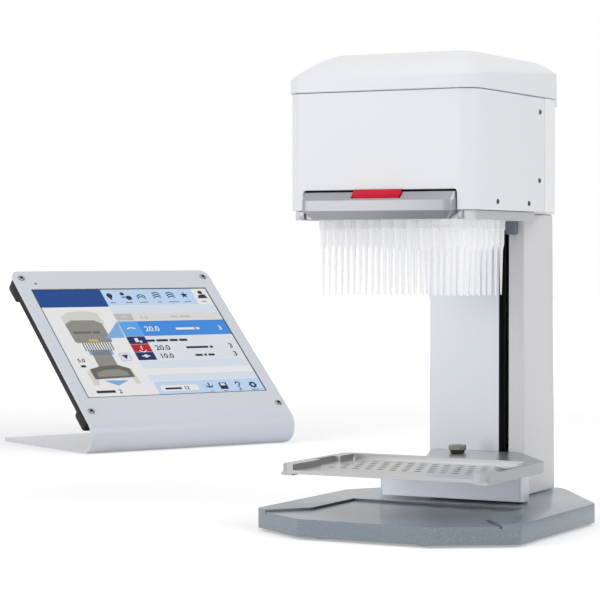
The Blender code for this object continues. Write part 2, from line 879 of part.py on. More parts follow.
def hole_places():
    """Centres of the insert's holes: straight rows, every other one shifted by half a step."""
    step_x = (2 * INSERT_HALF_X - 2 * INSERT_LEDGE) / (HOLE_COLUMNS + 0.5)
    step_y = (INSERT_HIGH_Y - INSERT_LOW_Y - 2 * INSERT_LEDGE) / HOLE_ROWS
    for row in range(HOLE_ROWS):
        y = INSERT_LOW_Y + INSERT_LEDGE + (row + 0.5) * step_y
        for column in range(HOLE_COLUMNS):
            x = -INSERT_HALF_X + INSERT_LEDGE + (column + 0.5 + 0.5 * (row % 2)) * step_x
            yield x, y


def make_stage():
    """The plate that holds the labware, its perforated insert, its bracket and its knob."""
    plate = prism("stage_plate", stage_outline(), STAGE_FLOOR_LOW, STAGE_TOP, SILVER)
    for side in (-1, 1):
        inner = side * (LABWARE_HALF_X + 0.6)
        outer = side * (STAGE_HALF - 0.6)
        fuse(
            plate,
            box(
                f"rail_skirt_{side}",
                (min(inner, outer), STAGE_FRONT + 0.6, STAGE_LOW),
                (max(inner, outer), STAGE_RIM_REAR - 3.0, STAGE_FLOOR_LOW + 1.0),
                None,
                TOOLS,
            ),
        )
    nest = rounded(
        [
            (-LABWARE_HALF_X, STAGE_FRONT - 10.0),
            (LABWARE_HALF_X, STAGE_FRONT - 10.0),
            (LABWARE_HALF_X, LABWARE_HALF_Y),
            (-LABWARE_HALF_X, LABWARE_HALF_Y),
        ],
        [0.0, 0.0, 3.0, 3.0],
        3,
    )
    over = STAGE_TOP + 5.0
    cut(plate, prism("nest_cutter", nest, STAGE_FLOOR, over, None, TOOLS))
    notch_reach = LABWARE_HALF_X + NOTCH_DEPTH
    notch_low = NOTCH_Y - NOTCH_LENGTH / 2
    notch_high = NOTCH_Y + NOTCH_LENGTH / 2
    cut(
        plate,
        box(
            "finger_notches",
            (-notch_reach, notch_low, STAGE_FLOOR),
            (notch_reach, notch_high, over),
            None,
            TOOLS,
        ),
    )
    seat = STAGE_FLOOR - INSERT_THICK - GAP
    cut(plate, prism("insert_seat", insert_outline(GAP), seat, over, None, TOOLS))
    window = insert_outline(-INSERT_LEDGE)
    cut(plate, prism("insert_window", window, STAGE_LOW - 5.0, over, None, TOOLS))
    bore(plate, KNOB_STEM_R + RUN, STAGE_LOW - 5.0, over, (KNOB_X, KNOB_Y), 16)

    holes = [
        [(x - HOLE_LONG, y), (x, y - HOLE_WIDE), (x + HOLE_LONG, y), (x, y + HOLE_WIDE)]
        for x, y in hole_places()
    ]
    insert = prism(
        "stage_insert",
        insert_outline(),
        STAGE_FLOOR - INSERT_THICK,
        STAGE_FLOOR,
        SILVER,
        None,
        holes,
    )

    side_rear = BRACKET_FRONT + BRACKET_SIDE
    points = mirrored_x(
        [
            (BRACKET_HALF, BRACKET_FRONT),
            (BRACKET_HALF, side_rear),
            (BRACKET_TAIL_HALF, BRACKET_REAR),
        ]
    )
    corners = [BRACKET_CORNER, 1.0, 1.0, 1.0, 1.0, BRACKET_CORNER]
    bracket = prism(
        "stage_bracket", rounded(points, corners, 4), BRACKET_LOW, BRACKET_HIGH, SILVER
    )
    hollow = mirrored_x(
        [
            (BRACKET_HALF - BRACKET_WALL, BRACKET_FRONT + BRACKET_WALL),
            (BRACKET_HALF - BRACKET_WALL, side_rear - 1.5),
            (BRACKET_TAIL_HALF - BRACKET_WALL, BRACKET_REAR - BRACKET_WALL),
        ]
    )
    roof = BRACKET_HIGH - BRACKET_ROOF
    cut(bracket, prism("bracket_hollow", hollow, BRACKET_LOW - 5.0, roof, None, TOOLS))
    cut(
        bracket,
        box(
            "arm_pocket",
            (SLOT_X - ARM_THICK / 2 - GAP, BRACKET_REAR - ARM_GRIP - 5.0, ARM_LOW - GAP),
            (SLOT_X + ARM_THICK / 2 + GAP, BRACKET_REAR + 5.0, ARM_HIGH + GAP),
            None,
            TOOLS,
        ),
    )
    stem_low = roof + 1.0
    bore(bracket, KNOB_STEM_R + RUN, stem_low - GAP, BRACKET_HIGH + 5.0, (KNOB_X, KNOB_Y), 16)

    neck_low = STAGE_TOP + GAP
    head_low = neck_low + KNOB_NECK_HEIGHT
    top = neck_low + KNOB_HEIGHT
    knob = turned(
        "thumb_knob",
        [
            (0.0, top),
            (KNOB_R - 0.5, top),
            (KNOB_R, top - 0.5),
            (KNOB_R, head_low),
            (KNOB_NECK_R, head_low),
            (KNOB_NECK_R, neck_low),
            (KNOB_STEM_R, neck_low),
            (KNOB_STEM_R, stem_low),
            (0.0, stem_low),
        ],
        (KNOB_X, KNOB_Y),
        DARK,
    )
    for i in range(KNOB_FLUTES):
        turn = 2 * math.pi * (i + 0.5) / KNOB_FLUTES
        x = KNOB_X + (KNOB_R + 0.2) * math.cos(turn)
        y = KNOB_Y + (KNOB_R + 0.2) * math.sin(turn)
        bore(knob, 0.7, head_low - 0.8, top + 2.0, (x, y), 4)
    return [plate, insert, bracket], knob


def head_half_outline(grow=0.0):
    """The head's plan on the right side, from the rear cover's seam to the tail."""
    return [
        (CASE_HALF + grow, CASE_SIDE_END),
        (TAIL_HALF + grow, TAIL_Y),
        (TAIL_HALF + grow, TAIL_REAR + grow),
    ]


def inner_head_outline(front, clear):
    """The space inside the rear cover, kept clear of its wall."""
    shrink = CASE_WALL + clear
    return mirrored_x(
        [
            (CASE_HALF - shrink, front),
            (CASE_HALF - shrink, CASE_SIDE_END - TAIL_HEM),
            (TAIL_HALF - shrink, TAIL_Y - TAIL_HEM),
            (TAIL_HALF - shrink, TAIL_REAR - shrink),
        ]
    )


def make_casing():
    """The head's front shell, with the drawer's mouth, and the rear cover with its floor."""
    path = rounded(
        [
            (-CASE_HALF, CASE_SEAM),
            (-CASE_HALF, CASE_FRONT),
            (CASE_HALF, CASE_FRONT),
            (CASE_HALF, CASE_SEAM),
        ],
        CASE_CORNER,
        6,
        closed=False,
    )
    casing = prism("head_casing", wall_outline(path, CASE_WALL), CASE_LOW, CASE_HIGH, WHITE)
    mouth_low = CASE_LOW - 10.0
    mouth = loft(
        "mouth_cutter",
        [
            [
                (x, y, z)
                for x, z in rounded(
                    [
                        (-MOUTH_HALF, mouth_low),
                        (MOUTH_HALF, mouth_low),
                        (MOUTH_HALF, MOUTH_HIGH),
                        (-MOUTH_HALF, MOUTH_HIGH),
                    ],
                    [0.0, 0.0, 2.0, 2.0],
                    3,
                )
            ]
            for y in (CASE_FRONT - 10.0, CASE_FRONT + 10.0)
        ],
        None,
        TOOLS,
    )
    cut(casing, mouth)

    right = [(CASE_HALF, CASE_SEAM + GAP), *head_half_outline()]
    left = [(-x, y) for x, y in reversed(right)]
    radii = [0, SIDE_R, SIDE_R, TAIL_R, TAIL_R, SIDE_R, SIDE_R, 0]
    path = rounded(right + left, radii, 4, closed=False)
    cover = prism("head_rear_cover", wall_outline(path, CASE_WALL), CASE_LOW, CASE_HIGH, WHITE)
    floor = inner_head_outline(PLATE_REAR + GAP, -0.5)
    floor_half = CASE_HALF - CASE_WALL - GAP
    floor = [(x if y > CASE_SEAM else math.copysign(floor_half, x), y) for x, y in floor]
    hem = TAIL_HEM
    spine_hole = [
        (-SPINE_HALF - hem, SPINE_FOOT_FRONT - hem),
        (SPINE_HALF + hem, SPINE_FOOT_FRONT - hem),
        (SPINE_HALF + hem, SPINE_REAR + hem),
        (-SPINE_HALF - hem, SPINE_REAR + hem),
    ]
    floor_piece = prism(
        "cover_floor", floor, CASE_LOW, CASE_LOW + CASE_WALL, None, TOOLS, [spine_hole]
    )
    fuse(cover, floor_piece)
    hole = cylinder("inlet_hole", INLET_R + GAP, -10.0, 10.0, (0.0, 0.0), None, TOOLS, 20)
    hole.rotation_euler = (math.pi / 2, 0.0, 0.0)
    hole.location = Vector((INLET_X, TAIL_REAR - CASE_WALL / 2, INLET_Z)) * MM
    cut(cover, hole)
    return [casing, cover]


def lid_band_top(y):
    rise = min(max(y, LID_FRONT), LID_BAND_FLAT_Y) - LID_FRONT
    return LID_LOW + LID_BAND + LID_BAND_RISE * rise


def make_lid():
    """The domed lid: an upright band all round, then soft slopes up to a flat top."""
    right = [(LID_HALF, LID_FRONT), *head_half_outline(LID_OVERHANG)]
    left = [(-x, y) for x, y in reversed(right)]
    corner = CASE_CORNER + LID_OVERHANG
    tail_r = TAIL_R + LID_OVERHANG
    radii = [corner, SIDE_R, SIDE_R, tail_r, tail_r, SIDE_R, SIDE_R, corner]
    outline = rounded(right + left, radii, 4)
    length = TAIL_REAR + LID_OVERHANG - LID_FRONT
    share_y = (LID_TOP_REAR - LID_TOP_FRONT) / length

    def ring(inwards, upwards):
        points = []
        for x, y in outline:
            top_x = x * LID_TOP_SHARE
            top_y = LID_TOP_FRONT + (y - LID_FRONT) * share_y
            edge = lid_band_top(y)
            points.append(
                (
                    x + (top_x - x) * inwards,
                    y + (top_y - y) * inwards,
                    edge + (LID_TOP - edge) * upwards,
                )
            )
        return points

    rings = [[(x, y, LID_LOW) for x, y in outline]]
    rings.append([(x, y, lid_band_top(y) - LID_SEAM_BAND) for x, y in outline])
    for inwards, upwards in ((0.03, 0.07), (0.3, 0.42), (0.62, 0.75), (0.88, 0.95), (1.0, 1.0)):
        rings.append(ring(inwards, upwards))
    lid = loft("head_lid", rings, WHITE, None, cap_low=False)
    shell = lid.modifiers.new("wall", "SOLIDIFY")
    shell.thickness = LID_WALL * MM
    shell.offset = -1.0
    lid.data.shade_smooth()
    lid.data.set_sharp_from_angle(angle=math.radians(30))
    return [lid]


def make_head_plates():
    """The bright plate under the head, which guides the drawer, and the frame above it."""
    slot_rear = DRAWER_REAR + GAP
    slot_half = DRAWER_HALF + RUN
    points = [
        (slot_half, PLATE_FRONT),
        (PLATE_HALF, PLATE_FRONT),
        (PLATE_HALF, PLATE_REAR),
        (-PLATE_HALF, PLATE_REAR),
        (-PLATE_HALF, PLATE_FRONT),
        (-slot_half, PLATE_FRONT),
        (-slot_half, slot_rear),
        (slot_half, slot_rear),
    ]
    radii = [0.0, PLATE_CORNER, 3.0, 3.0, PLATE_CORNER, 0.0, 0.0, 0.0]
    plate = prism("head_plate", rounded(points, radii, 5), PLATE_LOW, PLATE_HIGH, SILVER)
    wall_in = slot_half + DRAWER_TONGUE + 0.4
    wall_out = CASE_HALF - CASE_WALL - 3.0
    for side in (-1, 1):
        ends = sorted((side * wall_in, side * wall_out))
        fuse(
            plate,
            box(
                f"plate_wall_{side}",
                (ends[0], FRAME_FRONT, PLATE_HIGH - 2.0),
                (ends[1], DRAWER_REAR, FRAME_LOW - GAP),
                None,
                TOOLS,
            ),
        )
    groove = DRAWER_HALF + DRAWER_TONGUE + RUN
    cut(
        plate,
        box(
            "drawer_groove",
            (-groove, PLATE_FRONT - 10.0, TONGUE_LOW - RUN),
            (groove, slot_rear, TONGUE_HIGH + RUN),
            None,
            TOOLS,
        ),
    )

    tail_y = TAIL_Y - 1.5
    outline = mirrored_x(
        [
            (FRAME_HALF, FRAME_FRONT),
            (FRAME_HALF, CASE_SIDE_END - 2.0),
            (FRAME_TAIL_HALF, tail_y),
            (FRAME_TAIL_HALF, ROD_Y + LIFT_MOTOR_SIDE / 2),
        ]
    )
    window = [
        (-BLOCK_HALF_X - GAP, -BLOCK_HALF_Y - GAP),
        (BLOCK_HALF_X + GAP, -BLOCK_HALF_Y - GAP),
        (BLOCK_HALF_X + GAP, BLOCK_HALF_Y + GAP),
        (-BLOCK_HALF_X - GAP, BLOCK_HALF_Y + GAP),
    ]
    frame = prism("head_frame", outline, FRAME_LOW, FRAME_HIGH, SILVER, None, [window])
    bore(frame, COUPLING_R + 2.0, FRAME_LOW - 5.0, FRAME_HIGH + 5.0, (0.0, ROD_Y))
    return [plate, frame]


def make_drawer():
    """The drawer that carries the tips out of the head, and its bevelled handle."""
    front = HANDLE_BACK + GAP
    window = [
        (-WINDOW_HALF_X, -WINDOW_HALF_Y),
        (WINDOW_HALF_X, -WINDOW_HALF_Y),
        (WINDOW_HALF_X, WINDOW_HALF_Y),
        (-WINDOW_HALF_X, WINDOW_HALF_Y),
    ]
    outline = [
        (-DRAWER_HALF, front),
        (DRAWER_HALF, front),
        (DRAWER_HALF, DRAWER_REAR),
        (-DRAWER_HALF, DRAWER_REAR),
    ]
    drawer = prism("tip_drawer", outline, DRAWER_LOW, DRAWER_HIGH, SILVER, None, [window])
    reach = DRAWER_HALF + DRAWER_TONGUE
    tongue = [
        (-reach, PLATE_FRONT),
        (reach, PLATE_FRONT),
        (reach, DRAWER_REAR),
        (-reach, DRAWER_REAR),
    ]
    tongue_piece = prism("drawer_tongue", tongue, TONGUE_LOW, TONGUE_HIGH, None, TOOLS, [window])
    fuse(drawer, tongue_piece)
    ear_rear = PLATE_FRONT - RUN
    for side in (-1, 1):
        ends = sorted((side * (HANDLE_HALF + RUN), side * (DRAWER_HALF + EAR_REACH)))
        fuse(
            drawer,
            box(
                f"drawer_ear_{side}",
                (ends[0], ear_rear - EAR_THICK, DRAWER_LOW),
                (ends[1], ear_rear, DRAWER_HIGH),
                None,
                TOOLS,
                edge=0.4,
            ),
        )
        neck = sorted((side * (HANDLE_HALF + 1.1), side * (reach - 0.2)))
        fuse(
            drawer,
            box(
                f"ear_neck_{side}",
                (neck[0], ear_rear - EAR_THICK / 2, TONGUE_LOW + 0.2),
                (neck[1], PLATE_FRONT + 1.0, TONGUE_HIGH - 0.2),
                None,
                TOOLS,
            ),
        )
    rack_reach = RACK_HALF_Y + GAP
    cut(
        drawer,
        box(
            "rack_seat",
            (-WINDOW_HALF_X, -rack_reach, RACK_LOW - GAP),
            (WINDOW_HALF_X, rack_reach, DRAWER_HIGH + 5.0),
            None,
            TOOLS,
        ),
    )

    def level(half, front, z, corner):
        path = [(half, HANDLE_BACK), (half, front), (-half, front), (-half, HANDLE_BACK)]
        return [(x, y, z) for x, y in rounded(path, [0.0, corner, corner, 0.0], 4)]

    under_front = HANDLE_NOSE + HANDLE_UNDER
    handle = loft(
        "drawer_handle",
        [
            level(HANDLE_FOOT_HALF, under_front, DRAWER_LOW, 1.5),
            level(HANDLE_HALF, HANDLE_NOSE, HANDLE_FACE_LOW, HANDLE_CORNER),
            level(HANDLE_HALF, HANDLE_NOSE, HANDLE_FACE_HIGH, HANDLE_CORNER),
            level(HANDLE_HALF - 0.6, HANDLE_BASE - 0.4, HANDLE_HIGH, 0.6),
        ],
        SILVER,
    )
    soften(handle, 0.5, 1, 20.0)
    pocket_rear = HANDLE_BASE - GAP
    pocket_front = pocket_rear - BUTTON_DEPTH - 2 * RUN
    pocket_low = BUTTON_LOW - BUTTON_TRAVEL - RUN
    cut(
        handle,
        box(
            "button_pocket",
            (-BUTTON_HALF - RUN, pocket_front, pocket_low),
            (BUTTON_HALF + RUN, pocket_rear, HANDLE_HIGH + 10.0),
            None,
            TOOLS,
        ),
    )
    spring_y = pocket_rear - RUN - BUTTON_DEPTH / 2
    spring_high = BUTTON_LOW + SPRING_SOCKET - BUTTON_TRAVEL - GAP
    spring_low = spring_high - SPRING_LENGTH
    bore_r = SPRING_R + SPRING_WIRE_R + GAP
    bore(handle, bore_r, spring_low - GAP, pocket_low + 5.0, (0.0, spring_y), 12)
    return drawer, handle, spring_y, spring_low


def make_button(spring_y, spring_low):
    """The red latch button in the handle's sloping top, and the spring under it."""
    rear = HANDLE_BASE - GAP - RUN
    front = rear - BUTTON_DEPTH
    slope = (HANDLE_HIGH - HANDLE_FACE_HIGH) / HANDLE_REACH

    def top(y):
        return HANDLE_HIGH - slope * (HANDLE_BASE - y) + BUTTON_PROUD

    rings = []
    for y in (front, rear):
        low_half = BUTTON_HALF - 1.2
        rings.append(
            [
                (low_half, y, BUTTON_LOW),
                (BUTTON_HALF, y, top(y)),
                (-BUTTON_HALF, y, top(y)),
                (-low_half, y, BUTTON_LOW),
            ]
        )
    button = loft("latch_button", rings, RED)
    soften(button, 0.4, 2, 20.0)
    bore_r = SPRING_R + SPRING_WIRE_R + GAP
    bore(button, bore_r, BUTTON_LOW - 5.0, BUTTON_LOW + SPRING_SOCKET, (0.0, spring_y), 12)

    curve = bpy.data.curves.new("spring_coil", "CURVE")
    curve.dimensions = "3D"
    curve.bevel_depth = SPRING_WIRE_R * MM
    curve.bevel_resolution = 1
    curve.use_fill_caps = True
    spline = curve.splines.new("POLY")
    steps = SPRING_TURNS * 8
    spline.points.add(steps)
    rise = SPRING_LENGTH - 2 * SPRING_WIRE_R
    for i, point in enumerate(spline.points):
        turn = 2 * math.pi * i / 8
        height = spring_low + SPRING_WIRE_R + rise * i / steps
        x = SPRING_R * math.cos(turn)
        y = spring_y + SPRING_R * math.sin(turn)
        point.co = (x * MM, y * MM, height * MM, 1.0)
    raw = bpy.data.objects.new("spring_coil", curve)
    TOOLS.objects.link(raw)
    spring = solid_copy(raw, "latch_spring", STEEL)
    return button, spring


def make_tip_rack():
    """The rack with its 12 by 8 tips, which drops into the drawer."""
    rack_x = WINDOW_HALF_X - GAP
    rack = box(
        "tip_rack",
        (-rack_x, -RACK_HALF_Y, RACK_LOW),
        (rack_x, RACK_HALF_Y, RACK_LOW + RACK_THICK),
        CLEAR,
    )
    tip = turned(
        "single_tip",
        [
            (0.0, RACK_LOW + RACK_THICK / 3),
            (TIP_COLLAR_R, RACK_LOW + RACK_THICK / 3),
            (TIP_BODY_R, TIP_BODY_Z),
            (TIP_STEM_R, TIP_STEM_Z),
            (TIP_END_R, TIP_END_Z),
            (0.0, TIP_END_Z),
        ],
        (0.0, 0.0),
        None,
        TOOLS,
        TIP_SIDES,
    )
    shape = bmesh.new()
    for column in range(COLUMNS):
        for row in range(ROWS):
            x = column * PITCH - ARRAY_HALF_X
            y = row * PITCH - ARRAY_HALF_Y
            before = len(shape.verts)
            shape.from_mesh(tip.data)
            shape.verts.ensure_lookup_table()
            bmesh.ops.translate(
                shape, vec=Vector((x, y, 0.0)) * MM, verts=shape.verts[before:]
            )
    bpy.data.objects.remove(tip, do_unlink=True)
    fuse(rack, from_bmesh(shape, "all_tips", None, TOOLS))
    return rack


def make_liquid_drive():
    """Gasket, cylinder block, posts, motor and board, then the plate and screw that move."""
    gasket = box(
        "tip_gasket",
        (-BLOCK_HALF_X + 1.0, -BLOCK_HALF_Y + 1.0, GASKET_LOW),
        (BLOCK_HALF_X - 1.0, BLOCK_HALF_Y - 1.0, GASKET_LOW + GASKET_THICK),
        RUBBER,
    )
    block = box(
        "cylinder_block",
        (-BLOCK_HALF_X, -BLOCK_HALF_Y, BLOCK_LOW),
        (BLOCK_HALF_X, BLOCK_HALF_Y, BLOCK_HIGH),
        SILVER,
        edge=0.8,
    )
    fuse(
        block,
        box(
            "block_flange",
            (-BLOCK_HALF_X - BLOCK_FLANGE, -BLOCK_HALF_Y - BLOCK_FLANGE, FRAME_HIGH + GAP),
            (
                BLOCK_HALF_X + BLOCK_FLANGE,
                BLOCK_HALF_Y + BLOCK_FLANGE,
                FRAME_HIGH + GAP + BLOCK_FLANGE_THICK,
            ),
            None,
            TOOLS,
        ),
    )
    screw_low = BLOCK_HIGH - PISTON_SCREW_SINK
    bore(block, PISTON_SCREW_R + RUN, screw_low - GAP, BLOCK_HIGH + 5.0, sides=16)
    fixed = [gasket, block]
    top_half_x = POST_X + 8.0
    top_half_y = POST_Y + 8.0
    top_plate = box(
        "motor_plate",
        (-top_half_x, -top_half_y, TOP_PLATE_LOW),
        (top_half_x, top_half_y, TOP_PLATE_HIGH),
        SILVER,
    )
    bore(top_plate, PISTON_SCREW_R + 2.0, TOP_PLATE_LOW - 5.0, TOP_PLATE_HIGH + 5.0)
    fixed.append(top_plate)
    plate_high = PISTON_PLATE_LOW + PISTON_PLATE_THICK
    piston_plate = box(
        "piston_plate",
        (-top_half_x, -top_half_y, PISTON_PLATE_LOW),
        (top_half_x, top_half_y, plate_high),
        SILVER,
        edge=0.8,
    )
    bore(piston_plate, PISTON_NUT_R + GAP, PISTON_PLATE_LOW - 5.0, plate_high + 5.0)
    for i, (sx, sy) in enumerate(((-1, -1), (1, -1), (-1, 1), (1, 1))):
        place = (sx * POST_X, sy * POST_Y)
        ends = (BLOCK_HIGH + GAP, TOP_PLATE_LOW - GAP)
        fixed.append(cylinder(f"guide_post_{i + 1}", POST_R, *ends, place, STEEL, sides=16))
        bore(piston_plate, POST_R + RUN, PISTON_PLATE_LOW - 5.0, plate_high + 5.0, place, 16)
    half = PISTON_MOTOR_SIDE / 2
    motor_low = TOP_PLATE_HIGH + GAP
    motor = box(
        "piston_motor",
        (-half, -half, motor_low),
        (half, half, motor_low + PISTON_MOTOR_HEIGHT),
        DARK,
        edge=2.0,
    )
    socket = motor_low + PISTON_SHAFT_IN_MOTOR + RUN
    bore(motor, PISTON_SCREW_R + RUN, motor_low - 2.0, socket, sides=16)
    fixed.append(motor)
    fixed.append(
        box(
            "control_board",
            (-BOARD_HALF, BOARD_Y, FRAME_HIGH + GAP),
            (BOARD_HALF, BOARD_Y + BOARD_THICK, BOARD_HIGH),
            BOARD,
        )
    )
    inlet = turned(
        "power_inlet",
        [
            (0.0, 0.0),
            (INLET_PIN_R, 0.0),
            (INLET_PIN_R, -INLET_DEPTH + 2.0),
            (INLET_BORE_R, -INLET_DEPTH + 2.0),
            (INLET_BORE_R, 1.2),
            (INLET_FLANGE_R, 1.2),
            (INLET_FLANGE_R, GAP),
            (INLET_R, GAP),
            (INLET_R, -INLET_DEPTH),
            (0.0, -INLET_DEPTH),
        ],
        (0.0, 0.0),
        BLACK,
        sides=16,
    )
    inlet.rotation_euler = (-math.pi / 2, 0.0, 0.0)
    inlet.location = Vector((INLET_X, TAIL_REAR, INLET_Z)) * MM
    fixed.append(inlet)

    screw_high = motor_low + PISTON_SHAFT_IN_MOTOR
    screw = cylinder("piston_screw", PISTON_SCREW_R, screw_low, screw_high, (0, 0), STEEL, sides=16)
    flange_high = plate_high + GAP + 2.0
    nut = turned(
        "piston_nut",
        [
            (PISTON_SCREW_R + RUN, flange_high),
            (PISTON_NUT_FLANGE_R, flange_high),
            (PISTON_NUT_FLANGE_R, plate_high + GAP),
            (PISTON_NUT_R, plate_high + GAP),
            (PISTON_NUT_R, PISTON_PLATE_LOW),
            (PISTON_SCREW_R + RUN, PISTON_PLATE_LOW),
            (PISTON_SCREW_R + RUN, flange_high),
        ],
        (0.0, 0.0),
        BRASS,
        sides=16,
    )
    return fixed, screw, [piston_plate, nut]


def console_profile():
    """The bent sheet seen from its left end, as (backwards, upwards) points of its outer face."""
    steps = 8
    start = -math.pi / 2
    sweep = math.pi - (math.pi / 2 - CONSOLE_TILT)
    path = [(CONSOLE_FOOT, 0.0)]
    for i in range(steps + 1):
        turn = start - sweep * i / steps
        y = CONSOLE_BEND_R * math.cos(turn)
        z = CONSOLE_BEND_R + CONSOLE_BEND_R * math.sin(turn)
        path.append((y, z))
    y, z = path[-1]
    run = CONSOLE_SLOPE * math.sin(CONSOLE_TILT)
    rise = CONSOLE_SLOPE * math.cos(CONSOLE_TILT)
    path.append((y + run, z + rise))
    return path


def make_console():
    """The tablet on its bent-sheet stand, built upright in its own frame and then turned."""
    base = empty("console_place", (CONSOLE_X, CONSOLE_Y, 0.0), None, (0.0, 0.0, CONSOLE_TURN))
    path = console_profile()
    outline = wall_outline(list(reversed(path)), CONSOLE_SHEET)
    half = CONSOLE_WIDTH / 2
    stand = loft(
        "console_stand",
        [[(x, y, z) for y, z in outline] for x in (-half, half)],
        LAVENDER,
    )
    shape = bmesh.new()
    shape.from_mesh(stand.data)
    ends = [Vector((0.0, y, z)) * MM for y, z in (path[0], path[-1])]
    corners = []
    for edge in shape.edges:
        a, b = (vert.co for vert in edge.verts)
        middle = (a + b) / 2
        flat = Vector((0.0, middle.y, middle.z))
        near = min((flat - end).length for end in ends) < CONSOLE_SHEET * MM
        across = abs(abs(middle.x) - half * MM) < 1e-6 and (a - b).length < 1.5 * CONSOLE_SHEET * MM
        if near and across:
            corners.append(edge)
    bmesh.ops.bevel(
        shape, geom=corners, offset=CONSOLE_CORNER * MM, segments=4, profile=0.5, affect="EDGES"
    )
    bmesh.ops.recalc_face_normals(shape, faces=shape.faces)
    shape.to_mesh(stand.data)
    shape.free()

    bend_y, bend_z = path[-2]
    lean = math.pi / 2 - CONSOLE_TILT
    face = empty("panel_face", (0.0, bend_y, bend_z), base, (lean, 0.0, 0.0))

    def on_panel(obj, parent=face):
        obj.parent = parent
        return obj

    middle = SCREEN_LOW + SCREEN_HEIGHT / 2
    half_w = SCREEN_WIDTH / 2
    half_h = SCREEN_HEIGHT / 2
    window = box(
        "screen_window",
        (-half_w - GAP, middle - half_h - GAP, -CONSOLE_SHEET - 5.0),
        (half_w + GAP, middle + half_h + GAP, 5.0),
        None,
        TOOLS,
    )
    on_panel(window)
    cut(stand, window)
    screen = box(
        "tablet_screen",
        (-half_w, middle - half_h, -SCREEN_SINK - SCREEN_THICK),
        (half_w, middle + half_h, -SCREEN_SINK),
        GLASS,
    )
    on_panel(screen)
    back = -CONSOLE_SHEET - GAP
    edge = half - CASE_MARGIN
    top = CONSOLE_SLOPE - TABLET_TOP_MARGIN
    case = box(
        "tablet_case",
        (-edge, TABLET_LOW, back - TABLET_THICK),
        (edge, top, back),
        BLACK,
        edge=1.5,
    )
    on_panel(case)
    raised = box(
        "screen_bed",
        (-half_w, middle - half_h, back - 1.0),
        (half_w, middle + half_h, -SCREEN_SINK - SCREEN_THICK - GAP),
        None,
        TOOLS,
    )
    on_panel(raised)
    fuse(case, raised)
    for sx in (-1, 1):
        for low, high in ((TABLET_LOW, TABLET_LOW + BUMPER_SIDE), (top - BUMPER_SIDE, top)):
            ends_x = sorted((sx * (edge + GAP), sx * (edge - BUMPER_SIDE)))
            bumper = box(
                f"bumper_{sx}_{low:.0f}",
                (ends_x[0], low - 0.2, back - BUMPER_THICK),
                (ends_x[1], high + 0.2, back - 1.0),
                None,
                TOOLS,
                edge=2.5,
            )
            on_panel(bumper)
            fuse(case, bumper)
    screws = []
    number = 0
    for along in (SCREW_END_LOW, CONSOLE_SLOPE - SCREW_END_HIGH):
        for sx in (-1, 1):
            number += 1
            place = (sx * (half - SCREW_SIDE), along)
            screw = turned(
                f"console_screw_{number}",
                [
                    (0.0, SCREW_PROUD + GAP),
                    (SCREW_HEAD_R - 0.8, SCREW_PROUD + GAP),
                    (SCREW_HEAD_R, GAP),
                    (SCREW_SHANK_R, GAP),
                    (SCREW_SHANK_R, back - 3.0),
                    (0.0, back - 3.0),
                ],
                place,
                DARK,
                sides=12,
            )
            on_panel(screw)
            screws.append(screw)
            for target in (stand, case):
                tool = cylinder(
                    f"screw_hole_{number}_{target.name}",
                    SCREW_SHANK_R + GAP,
                    back - 3.0 - GAP,
                    5.0,
                    place,
                    None,
                    TOOLS,
                    12,
                )
                on_panel(tool)
                cut(target, tool)
    stand.parent = base
    return base, [stand, screen, case, *screws]


def world_box(objects):
    """The lowest and highest corner of the objects as built, in metres."""
    bpy.context.view_layer.update()
    graph = bpy.context.evaluated_depsgraph_get()
    lows = []
    highs = []
    for obj in objects:
        evaluated = obj.evaluated_get(graph)
        mesh = evaluated.to_mesh()
        points = np.empty(len(mesh.vertices) * 3, np.float32)
        mesh.vertices.foreach_get("co", points)
        evaluated.to_mesh_clear()
        world = np.array(evaluated.matrix_world)
        points = points.reshape(-1, 3) @ world[:3, :3].T + world[:3, 3]
        lows.append(points.min(axis=0))
        highs.append(points.max(axis=0))
    return np.min(lows, axis=0), np.max(highs, axis=0)


def build():
    still = []
    still += make_base()
    still += make_column()
    fixed, turning, riding = make_lift()
    still += fixed
    stage, knob = make_stage()
    still += make_casing()
    still += make_lid()
    still += make_head_plates()
    drawer, handle, spring_y, spring_low = make_drawer()
    button, spring = make_button(spring_y, spring_low)
    rack = make_tip_rack()
    fixed, piston_screw, pistons = make_liquid_drive()
    still += fixed
    console, console_parts = make_console()

    stage_place = empty("stage_place", (0.0, BRACKET_FRONT, STAGE_FLOOR))
    carry(stage_place, *stage, *riding)
    knob_axis = empty("knob_axis", (KNOB_X, KNOB_Y, 0.0), stage_place)
    knob_axis.location -= stage_place.location
    knob.parent = knob_axis
    knob.location = (0.0, 0.0, 0.0)
    lift_axis = empty("lift_screw_axis", (0.0, ROD_Y, 0.0))
    carry(lift_axis, *turning)
    drawer_place = empty("drawer_place", (0.0, CASE_FRONT, DRAWER_LOW))
    carry(drawer_place, drawer, handle, rack, spring)
    button_place = empty("button_place", (0.0, spring_y, BUTTON_LOW), drawer_place)
    button_place.location -= drawer_place.location
    button.parent = button_place
    button.location = -(button_place.location + drawer_place.location)
    piston_place = empty("piston_place", (0.0, 0.0, PISTON_PLATE_LOW))
    carry(piston_place, *pistons)
    piston_axis = empty("piston_screw_axis", (0.0, 0.0, 0.0))
    carry(piston_axis, piston_screw)

    whole = [obj for obj in PARTS.objects if obj.type == "MESH"]
    low, high = world_box(whole)
    origin = empty("bench_origin", (0.0, 0.0, 0.0))
    origin.location = (-(low[0] + high[0]) / 2, -(low[1] + high[1]) / 2, -low[2])
    for obj in list(bpy.data.objects):
        if obj.parent is None and obj is not origin:
            obj.parent = origin
    bpy.context.view_layer.update()
    print("origin moved by", tuple(round(1000 * v, 4) for v in origin.location), "mm")


build()
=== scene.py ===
"""A bench-top multichannel pipetting unit and its touch console, dressed for a studio picture."""

import json
import math

import bmesh
import bpy
from mathutils import Matrix, Vector

